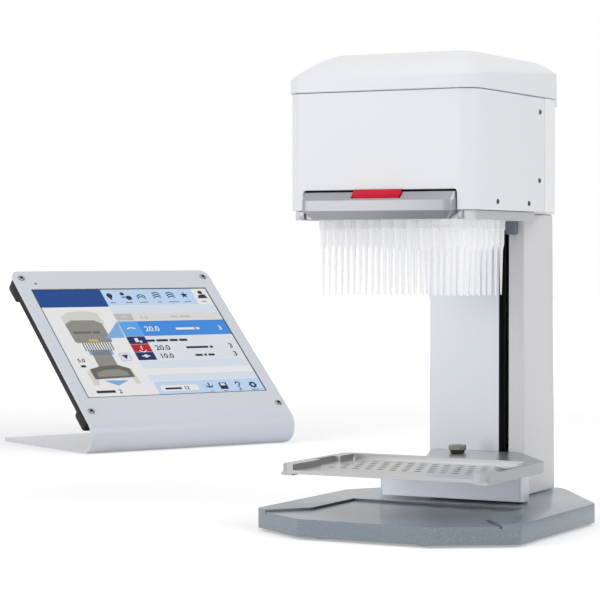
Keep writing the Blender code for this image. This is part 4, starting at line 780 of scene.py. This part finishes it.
def lid_rows(outline):
    """The lid's rows of points: an upright band, the dome over it, and the flat top."""
    share_y = (TOP_REAR - TOP_FRONT) / (LID_REAR - LID_FRONT)
    rows = [[(x, y, LID_LOW) for x, y in outline]]
    for k in range(LID_BAND_ROWS):
        share = (k + 0.5) / LID_BAND_ROWS
        rises = [share * (lid_band_top(y) - 1.0 - LID_LOW) for _, y in outline]
        rows.append([(x, y, LID_LOW + rise) for (x, y), rise in zip(outline, rises)])
    for k in range(LID_DOME_ROWS + 1):
        t = (len(LID_INWARDS) - 1) * k / LID_DOME_ROWS
        inwards = catmull(LID_INWARDS, t)
        upwards = catmull(LID_UPWARDS, t)
        row = []
        for x, y in outline:
            edge = lid_band_top(y) - 0.5
            top_x = x * TOP_SHARE
            top_y = TOP_FRONT + (y - LID_FRONT) * share_y
            z = edge + (LID_TOP - edge) * upwards
            row.append((x + (top_x - x) * inwards, y + (top_y - y) * inwards, z))
        rows.append(row)
    middle_y = (TOP_FRONT + TOP_REAR) / 2
    last = rows[-1]
    for share in LID_CAP_SHARES:
        rows.append([(x * share, middle_y + (y - middle_y) * share, LID_TOP) for x, y, _ in last])
    return rows


def softened(rows):
    """The same rows, with each point drawn towards the rows above and below it."""
    soft = [rows[0]]
    for beside in zip(rows, rows[1:], rows[2:]):
        soft.append([tuple((p + 2 * q + r) / 4 for p, q, r in zip(*three)) for three in zip(*beside)])
    soft.append(rows[-1])
    return soft


def make_lid():
    """The domed lid, as a smooth skin over the same rows that the solid has."""
    half = CASE_HALF + LID_OVERHANG
    tail = TAIL_HALF + LID_OVERHANG
    right = [(half, LID_FRONT), (half, SIDE_END), (tail, TAIL_Y), (tail, LID_REAR)]
    corner = CASE_CORNER + LID_OVERHANG
    to_tail = [LID_SIDE_R, LID_SIDE_R, LID_TAIL_R]
    radii = [corner, *to_tail, *to_tail[::-1], corner]
    outline = rounded_outline(right + [(-x, y) for x, y in reversed(right)], radii)
    rows = lid_rows(outline)
    for _ in range(LID_SOFTENING):
        rows = softened(rows)
    shape = bmesh.new()
    rings = [[shape.verts.new(spot(*p)) for p in row] for row in rows]
    count = len(outline)
    for low, high in zip(rings, rings[1:]):
        for i in range(count):
            j = (i + 1) % count
            shape.faces.new((low[i], low[j], high[j], high[i]))
    shape.faces.new(rings[-1])
    mesh = mesh_from(shape, "lid_skin")
    smooth_by_angle(mesh, 40.0)
    lid = new_piece("lid_skin", mesh, WHITE, "instrument")
    wall = lid.modifiers.new("wall", "SOLIDIFY")
    wall.thickness = LID_WALL * MM
    wall.offset = -1.0
    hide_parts("head_lid")


def side_screw(name, place, normal, radius, body, finish):
    """A button-head socket screw that stands a little proud of a face, its socket painted black as
    shade.
    """
    shape = bmesh.new()
    profile = [
        (radius * 0.42, -0.5),
        (radius * 0.45, 0.75),
        (radius * 0.62, 0.85),
        (radius * 0.88, 0.55),
        (radius, 0.1),
        (radius, -0.25),
    ]
    revolve(shape, profile, Vector((0.0, 0.0, 0.0)), 24)
    mesh = mesh_from(shape, name)
    turn = Vector((0.0, 0.0, 1.0)).rotation_difference(Vector(normal)).to_matrix().to_4x4()
    shaded_socket_faces = [face.index for face in mesh.polygons if face.center.xy.length < radius * 0.44 * MM]
    mesh.transform(Matrix.Translation(place) @ turn)
    smooth_by_angle(mesh, 30.0)
    screw = new_piece(name, mesh, finish, body)
    # Painted shade: the socket's faces are black, for the shade in the recess.
    mesh.materials.append(BLACK)
    for index in shaded_socket_faces:
        mesh.polygons[index].material_index = 1
    return screw


def make_button():
    """The latch button, a little higher than its solid, with a closed bore for the spring."""
    spring_low, spring_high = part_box("latch_spring")
    axis = ((spring_low + spring_high) / 2).xy
    low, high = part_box("latch_button")
    shape = bmesh.new()
    for vertex in frame["nodes"]["latch_button"].data.vertices:
        place = vertex.co.copy()
        if (place.xy - axis).length > SOLID_BORE_REACH * MM:
            if place.z > high.z - 1.0 * MM:
                place.z += BUTTON_RISE * MM
            shape.verts.new(place)
    hull = bmesh.ops.convex_hull(shape, input=shape.verts)
    unused = [part for part in hull["geom_interior"] if isinstance(part, bmesh.types.BMVert)]
    bmesh.ops.delete(shape, geom=unused, context="VERTS")
    bmesh.ops.dissolve_limit(
        shape, angle_limit=math.radians(0.6), verts=shape.verts, edges=shape.edges
    )
    button = bpy.data.objects.new("button_hull", mesh_from(shape, "button_hull"))
    shape = bmesh.new()
    bore_top = low.z / MM + BUTTON_BORE_DEPTH
    bore = [(BUTTON_BORE_R, bore_top), (BUTTON_BORE_R, low.z / MM - 1.0)]
    revolve(shape, bore, Vector((*axis, 0.0)), 16)
    cutter = bpy.data.objects.new("button_bore", mesh_from(shape, "button_bore"))
    cut = button.modifiers.new("bore", "BOOLEAN")
    cut.operation = "DIFFERENCE"
    cut.object = cutter
    mesh = final_mesh(button, cutter)
    smooth_by_angle(mesh)
    piece = new_piece("latch_button_skin", mesh, RED, "latch")
    round_edges(piece, 0.2)
    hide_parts("latch_button")


def make_mouth_shade_sheet():
    """A black strip inside the mouth: painted shade that darkens the slit over the drawer's handle."""
    near = spot(-SHADE_SHEET_HALF, SHADE_SHEET_FRONT, SHADE_SHEET_LOW)
    far = spot(SHADE_SHEET_HALF, SHADE_SHEET_REAR, SHADE_SHEET_HIGH)
    mesh = box_mesh("mouth_shade_sheet", near, far)
    new_piece("mouth_shade_sheet", mesh, BLACK, "instrument")


def dress_head():
    """Casing, rear cover, lid, plate, drawer, handle and latch, with the cover's screws."""
    dress("head_casing", "instrument", WHITE, 0.5, 3)
    dress("head_rear_cover", "instrument", COVER_WHITE, 0.5, 3)
    make_lid()
    dress("head_plate", "instrument", PLATE_METAL, 0.6, 3)
    dress("tip_drawer", "drawer", HANDLE_METAL, 0.3)
    handle = dress("drawer_handle", "drawer", HANDLE_METAL, 0.3).data
    for edge in handle.edges:
        first, second = (handle.vertices[i].co for i in edge.vertices)
        edge.use_edge_sharp = edge.use_edge_sharp or abs(first.z - second.z) < 0.05 * MM
    make_button()
    make_tips()
    make_mouth_shade_sheet()
    radius = HEAD_SCREW_RADIUS
    for side, word in ((-1, "left"), (1, "right")):
        for i, (y, z) in enumerate(CASING_SCREWS):
            name = f"casing_screw_{word}_{i + 1}"
            place = spot(side * CASE_HALF, y, z)
            side_screw(name, place, (side, 0, 0), radius, "instrument", DARK_STEEL)
    for i, (x, z) in enumerate(COVER_SCREWS):
        place = spot(x, TAIL_REAR, z)
        side_screw(f"cover_screw_{i + 1}", place, (0, 1, 0), radius, "instrument", DARK_STEEL)


def panel_matrix():
    """From the console panel's own axes (across, up the slope, outwards) to the scene."""
    turn = -math.pi / 2 - (math.pi / 2 + CONSOLE_TILT)
    bend_y = CONSOLE_BEND_R * math.cos(turn)
    bend_z = CONSOLE_BEND_R + CONSOLE_BEND_R * math.sin(turn)
    place = Matrix.Translation(spot(*CONSOLE_PLACE)) @ Matrix.Rotation(CONSOLE_TURN, 4, "Z")
    lean = Matrix.Rotation(math.pi / 2 - CONSOLE_TILT, 4, "X")
    return place @ Matrix.Translation(Vector((0.0, bend_y, bend_z)) * MM) @ lean


PANEL_SPACE = panel_matrix()


def patch(name, points, paint, level):
    """A flat patch of the display, as thin as ink, at one of a few levels over the glass."""
    shape = bmesh.new()
    low = DISPLAY_Z + INK_GAP + INK_STEP * level
    high = low + INK_THICK
    bottom = [shape.verts.new(PANEL_SPACE @ (Vector((a, b, low)) * MM)) for a, b in points]
    top = [shape.verts.new(PANEL_SPACE @ (Vector((a, b, high)) * MM)) for a, b in points]
    shape.faces.new(bottom)
    shape.faces.new(top)
    for i in range(len(points)):
        j = (i + 1) % len(points)
        shape.faces.new((bottom[i], bottom[j], top[j], top[i]))
    return new_piece("display_" + name, mesh_from(shape, name), paint, "console")


def block(name, left, low, right, high, paint, level):
    return patch(name, [(left, low), (right, low), (right, high), (left, high)], paint, level)


def disc(name, a, b, radius, paint, level, sides=20, inner=None):
    """A round patch, or a star or cog where inner is given."""
    points = []
    for i in range(sides):
        r = inner if inner and i % 2 else radius
        turn = 2 * math.pi * i / sides + math.pi / 2
        points.append((a + r * math.cos(turn), b + r * math.sin(turn)))
    return patch(name, points, paint, level)


def arc(name, a, b, radius, start, stop, width, paint, level):
    """A curved stroke between two turns in degrees."""
    shares = [k / ARC_STEPS for k in range(ARC_STEPS + 1)]
    turns = [math.radians(start + (stop - start) * share) for share in shares]
    outer = [(a + radius * math.cos(t), b + radius * math.sin(t)) for t in turns]
    inner = [(a + (radius - width) * math.cos(t), b + (radius - width) * math.sin(t)) for t in turns]
    return patch(name, outer + inner[::-1], paint, level)


def drop(a, b, half, long):
    """The outline of a drop that hangs point down."""
    turns = [math.radians(-20 + 220 * k / ARC_STEPS) for k in range(ARC_STEPS + 1)]
    head = b + long / 2 - half
    return [(a, b - long / 2)] + [(a + half * math.cos(t), head + half * math.sin(t)) for t in turns]


def slab(name, left, low, right, high, corner, paint, level):
    """A block with rounded corners."""
    made = rounded_outline([(left, low), (left, high), (right, high), (right, low)], [corner] * 4, 4)
    return patch(name, made, paint, level)


def words(name, a, b, high, lengths, paint):
    """Plain bars that stand for words."""
    for i, long in enumerate(lengths):
        block(f"{name}_{i + 1}", a, b, a + long, b + high * 0.7, paint, 3)
        a += long + 1.8


def numeral(name, digits, a, b, size, paint, level):
    """Plain digits on the display."""
    curve = bpy.data.curves.new(name, "FONT")
    curve.body = digits
    curve.size = size * MM
    curve.extrude = 0.00002
    curve.offset = 0.00014
    curve.resolution_u = 3
    mesh = final_mesh(bpy.data.objects.new(name, curve))
    height = DISPLAY_Z + INK_GAP + INK_THICK / 2 + INK_STEP * level
    shift = Matrix.Translation(Vector((a, b, height)) * MM)
    mesh.transform(PANEL_SPACE @ shift)
    return new_piece("display_" + name, mesh, paint, "console")


def draw_fields():
    """The display's ground with its header, bars, rows and buttons."""
    left = DISPLAY_LEFT + DISPLAY_RIM
    right = DISPLAY_RIGHT - DISPLAY_RIM
    low = DISPLAY_LOW + DISPLAY_RIM
    high = DISPLAY_HIGH - DISPLAY_RIM
    block("ground", left, low, right, high, LIT_WHITE, 0)
    block("header", left, 155.4, LIST_LEFT, high, LIT_NAVY, 1)
    block("tool_bar", LIST_LEFT, 157.0, 79.5, high, LIT_LIGHT_BLUE, 1)
    block("under_bar", LIST_LEFT, 146.0, right, 156.6, LIT_PALE, 1)
    block("past_row", LIST_LEFT, 134.4, right, 145.6, LIT_GREY, 1)
    block("past_button", LIST_LEFT, 135.4, -4.0, 145.0, LIT_FADED, 2)
    block("active_row", LIST_LEFT, 112.8, right, 134.0, LIT_BLUE, 1)
    block("active_button", LIST_LEFT, 112.8, -2.0, 134.0, LIT_MID_BLUE, 2)
    block("list_rows", LIST_LEFT, 79.2, right, 112.4, LIT_ICE, 1)
    for i, (row_low, row_high) in enumerate(((68.0, 78.6), (50.8, 59.6))):
        block(f"stripe_{i + 1}", LIST_LEFT, row_low, right, row_high, LIT_PALE, 1)
    block("bottom_bar", -21.0, low, right, 50.0, LIT_LIGHT_BLUE, 1)
    slab("bottom_field", -16.5, 36.8, 25.0, 44.6, 2.0, LIT_WHITE, 2)
    for name, row_low, row_high, paint in (
        ("notice", 102.0, 112.4, LIT_DEEP),
        ("second", 91.0, 101.6, LIT_RED),
        ("third", 79.6, 90.6, LIT_DEEP),
    ):
        block(name + "_button", LIST_LEFT, row_low, -3.0, row_high, paint, 2)


def draw_list_marks():
    """The marks on the rows' buttons, and the pointer to the active row."""
    block("notice_sheet", -15.6, 104.6, -11.8, 110.2, LIT_WHITE, 3)
    block("notice_sheet_low", -11.0, 103.8, -8.6, 106.4, LIT_WHITE, 3)
    arc("second_arc", -13.0, 94.6, 4.4, 200.0, 340.0, 1.1, LIT_WHITE, 3)
    block("second_stem", -13.6, 94.0, -12.4, 99.2, LIT_WHITE, 3)
    block("third_stem", -17.4, 84.6, -8.4, 85.8, LIT_WHITE, 3)
    disc("third_mark", -12.9, 85.2, 2.2, LIT_WHITE, 3, 8)
    patch("pointer", [(LIST_LEFT - 0.6, 134.0), (LIST_LEFT - 1.2, 111.4), (-46.0, 110.8)], LIT_SKY, 3)
    arc("active_mark", -12.5, 117.4, 8.0, 50.0, 130.0, 1.3, LIT_WHITE, 3)
    arc("past_mark", -13.5, 136.6, 5.0, 40.0, 140.0, 0.9, LIT_GREY, 3)


def draw_tool_bar():
    """The signs of the tool bar, each over a bar that stands for its name."""
    patch("tool_drop", drop(-16.4, 169.6, 3.2, 10.0), LIT_INK, 3)
    disc("tool_pair_left", -1.6, 173.4, 2.3, LIT_INK, 3)
    disc("tool_pair_right", 4.0, 167.6, 3.2, LIT_INK, 3)
    block("tool_pair_bar", -3.8, 168.0, 0.8, 169.4, LIT_INK, 3)
    for i, (a, low_turn) in enumerate(((18.3, 20.0), (36.4, 30.0), (52.4, 30.0))):
        for k in range(3 if i else 2):
            name = f"tool_arc_{i + 1}_{k + 1}"
            arc(name, a, 164.2 + 2.9 * k, 5.4, low_turn, 180.0 - low_turn, 1.2, LIT_INK, 3)
    disc("tool_star", 68.5, 170.6, 4.6, LIT_INK, 3, 10, 2.0)
    disc("tool_person_head", 88.6, 174.2, 2.6, LIT_INK, 3)
    patch("tool_person", [(82.8, 165.6), (84.6, 170.0), (92.2, 171.6), (94.0, 165.6)], LIT_INK, 3)
    centres = (-16.4, 1.4, 18.3, 36.4, 52.4, 68.5, 87.5)
    for i, (a, long) in enumerate(zip(centres, (6.0, 8.0, 9.0, 5.0, 11.0, 8.0, 6.0))):
        block(f"tool_line_{i + 1}", a - long / 2, 160.4, a + long / 2, 161.4, LIT_DARK_GREY, 3)


def draw_bottom_bar():
    """The signs of the bottom bar, with the bars under them."""
    arc("low_arc", 37.5, 43.6, 4.6, 200.0, 340.0, 1.4, LIT_INK, 3)
    block("low_stem", 36.8, 40.0, 38.2, 46.0, LIT_INK, 3)
    block("low_disk", 48.8, 36.6, 57.4, 45.4, LIT_INK, 3)
    block("low_disk_label", 50.6, 41.4, 55.6, 44.4, LIT_PALE, 4)
    arc("low_hook", 70.0, 43.4, 2.9, -60.0, 190.0, 1.3, LIT_INK, 3)
    block("low_hook_stem", 69.4, 38.6, 70.8, 41.2, LIT_INK, 3)
    disc("low_hook_dot", 70.1, 36.4, 0.9, LIT_INK, 3, 10)
    disc("low_cog", 86.5, 41.0, 4.6, LIT_INK, 3, 16, 3.6)
    disc("low_cog_hole", 86.5, 41.0, 1.7, LIT_LIGHT_BLUE, 4, 12)
    for i, (a, long) in enumerate(((37.5, 4.0), (53.0, 4.0), (70.0, 4.0), (86.5, 8.0))):
        block(f"low_line_{i + 1}", a - long / 2, 34.0, a + long / 2, 34.9, LIT_DARK_GREY, 3)


def draw_words():
    """Bars for all the words beside the numbers."""
    words("past_words", 38.0, 138.4, 3.2, (9.0, 12.0), LIT_FADED)
    words("active_words", 37.0, 120.6, 4.4, (21.0, 4.0), LIT_WHITE)
    words("notice_words", -3.0, 104.6, 4.4, (9.0, 13.0, 9.0, 9.0), LIT_INK)
    words("second_words", 36.5, 94.0, 4.0, (25.0, 3.5), LIT_INK)
    words("third_words", 42.0, 83.0, 4.0, (8.0, 3.0, 7.0), LIT_INK)
    words("bottom_words", -12.0, 38.8, 3.6, (18.0,), LIT_INK)
    words("left_words", -88.0, 72.4, 4.2, (5.0,), LIT_INK)
    words("low_left_words", -86.0, 37.6, 4.6, (20.0,), LIT_INK)
    words("unit_words", -77.5, 118.2, 4.0, (19.0, 8.0), LIT_DARK_GREY)


def draw_unit():
    """The small drawing of the unit."""
    lid = [(-81.4, 131.0), (-82.0, 141.5), (-73.0, 147.8), (-62.5, 149.4)]
    lid += [(-50.0, 149.2), (-40.5, 146.0), (-38.4, 131.0)]
    patch("unit_lid", lid, LIT_STONE, 1)
    head = [(-79.0, 105.4), (-80.5, 107.8), (-81.5, 131.5), (-73.0, 136.9)]
    head += [(-48.4, 136.4), (-41.5, 131.8), (-40.6, 107.8), (-42.0, 105.4)]
    patch("unit_head", head, LIT_MID_GREY, 2)
    block("unit_latch", -65.4, 107.0, -55.6, 110.0, LIT_YELLOW, 3)
    for i in range(12):
        a = -74.2 + 2.7 * i
        block(f"unit_tip_{i + 1}", a, 94.2, a + 1.2, 105.2, LIT_DARK_GREY, 2)
    block("unit_column", -69.4, 73.0, -48.9, 94.8, LIT_MID_GREY, 1)
    block("unit_liquid", -72.0, 88.4, -46.2, 95.4, LIT_SKY, 1)
    feet = [(-84.9, 66.9), (-84.3, 48.3), (-79.0, 48.3), (-76.5, 56.0)]
    feet += [(-41.0, 56.0), (-39.4, 48.5), (-34.0, 48.4), (-36.5, 68.5)]
    patch("unit_feet", feet, LIT_STONE, 1)
    stage = [(-80.0, 55.9), (-80.7, 69.5), (-68.5, 73.2), (-48.7, 74.2), (-38.0, 69.0), (-37.2, 57.6)]
    patch("unit_stage", stage, LIT_DARK_GREY, 2)
    inside = [(-75.6, 59.0), (-75.2, 64.6), (-66.0, 68.0), (-50.0, 68.6), (-42.6, 64.6), (-42.2, 59.6)]
    patch("unit_stage_inside", inside, LIT_MID_GREY, 3)
    patch("unit_arrow", [(-72.2, 54.0), (-59.4, 46.6), (-46.0, 53.4)], LIT_SKY, 3)


def draw_jog_button():
    """The button beside the drawing."""
    slab("jog_rim", -41.6, 79.2, -29.8, 90.4, 2.4, LIT_SKY, 1)
    slab("jog_face", -41.0, 79.8, -30.4, 89.8, 2.0, LIT_ICE, 2)
    patch("jog_mark", [(-39.0, 87.6), (-32.2, 87.6), (-35.6, 81.4)], LIT_DEEP, 3)


def draw_numbers():
    """All the numbers."""
    numeral("left_volume", "5.0", -88.5, 79.5, 6.5, LIT_INK, 2)
    numeral("left_number", "2", -62.5, 36.8, 7.0, LIT_INK, 2)
    numeral("past_volume", "5.0", 4.0, 137.0, 7.5, LIT_FADED, 3)
    numeral("active_volume", "20.0", 2.0, 119.6, 9.5, LIT_WHITE, 3)
    numeral("active_count", "3", 85.5, 119.2, 8.5, LIT_WHITE, 3)
    numeral("second_volume", "20.0", 2.0, 92.8, 9.5, LIT_INK, 3)
    numeral("second_count", "3", 85.5, 93.2, 9.0, LIT_INK, 3)
    numeral("third_volume", "10.0", 2.0, 81.6, 9.0, LIT_INK, 3)
    numeral("third_count", "3", 85.5, 82.0, 9.0, LIT_INK, 3)
    numeral("bottom_number", "12", 8.6, 38.2, 6.0, LIT_INK, 3)


def make_display():
    """The lit picture: header, tool bar, list of steps, and a small drawing of the unit."""
    draw_fields()
    draw_list_marks()
    draw_tool_bar()
    draw_bottom_bar()
    draw_words()
    draw_unit()
    draw_jog_button()
    draw_numbers()


def dress_console():
    """Stand, tablet, display and screws."""
    dress("console_stand", "console", LAVENDER, 0.4, 3)
    dress("tablet_case", "console", BLACK, 0.5)
    dress("tablet_screen", "console", BLACK, 0.1)
    make_display()
    radius = CONSOLE_SCREW_RADIUS
    for i, (a, b) in enumerate(CONSOLE_SCREWS):
        place = PANEL_SPACE @ (Vector((a, b, 0.3)) * MM)
        normal = PANEL_SPACE.to_3x3() @ Vector((0.0, 0.0, 1.0))
        name = f"console_screw_head_{i + 1}"
        screw = side_screw(name, place, normal, radius, "console", SCREW_STEEL)
        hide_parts(f"console_screw_{i + 1}")
    shape = bmesh.new()
    revolve(shape, [(1.0, 0.15), (1.3, 0.05), (1.3, -0.2)], Vector((0.0, 0.0, 0.0)), 20)
    mesh = mesh_from(shape, "light_sensor")
    mesh.transform(PANEL_SPACE @ Matrix.Translation(Vector(LIGHT_SENSOR) * MM))
    smooth_by_angle(mesh, 30.0)
    new_piece("light_sensor", mesh, DARK_STEEL, "console")


def make_camera():
    data = bpy.data.cameras.new("camera")
    data.lens = FOCAL_LENGTH
    data.sensor_width = 36.0
    data.clip_end = 50.0
    camera = bpy.data.objects.new("camera", data)
    camera.location = spot(*CAMERA_PLACE)
    camera.rotation_euler = (math.pi / 2 - CAMERA_DOWN, 0.0, CAMERA_YAW)
    scene.collection.objects.link(camera)
    scene.camera = camera


def softbox(name, place, target, size, power):
    data = bpy.data.lights.new(name, "AREA")
    data.shape = "SQUARE"
    data.size = size
    data.energy = power
    lamp = bpy.data.objects.new(name, data)
    lamp.location = place
    lamp.rotation_euler = (target - place).to_track_quat("-Z", "Y").to_euler()
    scene.collection.objects.link(lamp)


def make_floor():
    """A pale floor that looks white to the camera and keeps soft shadows."""
    shape = bmesh.new()
    bmesh.ops.create_grid(shape, x_segments=1, y_segments=1, size=FLOOR_SIZE)
    mesh = mesh_from(shape, "floor")
    mesh.transform(Matrix.Translation((0.0, 0.0, -FLOOR_DROP)))
    floor = bpy.data.objects.new("floor", mesh)
    scene.collection.objects.link(floor)
    made, shader = blank_material("studio floor", 0.6)
    shader.inputs["Base Color"].default_value = (0.86, 0.86, 0.87, 1.0)
    shader.inputs["Specular IOR Level"].default_value = 0.2
    tree = made.node_tree
    rays = tree.nodes.new("ShaderNodeLightPath")
    seen = math_node(tree, "MAXIMUM", rays.outputs["Is Camera Ray"], rays.outputs["Is Glossy Ray"])
    seen = math_node(tree, "MAXIMUM", seen, rays.outputs["Is Transmission Ray"])
    place = tree.nodes.new("ShaderNodeVectorMath")
    place.operation = "LENGTH"
    tree.links.new(object_space(tree), place.inputs[0])
    ramp = tree.nodes.new("ShaderNodeMapRange")
    ramp.inputs["From Min"].default_value = FLOOR_NEAR
    ramp.inputs["From Max"].default_value = FLOOR_FAR
    ramp.inputs["To Min"].default_value = FLOOR_GLOW
    ramp.inputs["To Max"].default_value = FAR_GLOW
    tree.links.new(place.outputs["Value"], ramp.inputs["Value"])
    strength = math_node(tree, "MULTIPLY", seen, ramp.outputs["Result"])
    shader.inputs["Emission Color"].default_value = (1.0, 1.0, 1.0, 1.0)
    tree.links.new(strength, shader.inputs["Emission Strength"])
    mesh.materials.append(made)


def make_world():
    """White to the camera and in reflections, and a plain even light on everything."""
    world = bpy.data.worlds.new("studio")
    scene.world = world
    world.use_nodes = True
    tree = world.node_tree
    background = tree.nodes["Background"]
    rays = tree.nodes.new("ShaderNodeLightPath").outputs
    seen = math_node(tree, "MAXIMUM", rays["Is Camera Ray"], rays["Is Transmission Ray"])
    extra = math_node(tree, "MULTIPLY", seen, 1.0 - WORLD_LIGHT)
    toward = tree.nodes.new("ShaderNodeVectorMath")
    toward.operation = "DOT_PRODUCT"
    tree.links.new(tree.nodes.new("ShaderNodeTexCoord").outputs["Generated"], toward.inputs[0])
    toward.inputs[1].default_value = DARK_WALL
    wall = tree.nodes.new("ShaderNodeMapRange")
    wall.inputs["From Min"].default_value = WALL_STARTS
    wall.inputs["From Max"].default_value = WALL_DARKEST
    wall.inputs["To Min"].default_value = WALL_LIGHT - WORLD_LIGHT
    wall.inputs["To Max"].default_value = 0.0
    tree.links.new(toward.outputs["Value"], wall.inputs["Value"])
    gloss = math_node(tree, "MULTIPLY", rays["Is Glossy Ray"], wall.outputs["Result"])
    strength = math_node(tree, "ADD", math_node(tree, "MAXIMUM", extra, gloss), WORLD_LIGHT)
    background.inputs["Color"].default_value = (1.0, 1.0, 1.0, 1.0)
    tree.links.new(strength, background.inputs["Strength"])


def make_studio():
    make_camera()
    make_world()
    make_floor()
    for name, place, target, size, power in LAMPS:
        softbox(name, spot(*place), spot(*target), size, power)
    scene.view_settings.view_transform = "Standard"
    scene.cycles.transparent_max_bounces = 48


make_studio()
dress_structure()
dress_stage()
dress_head()
dress_console()
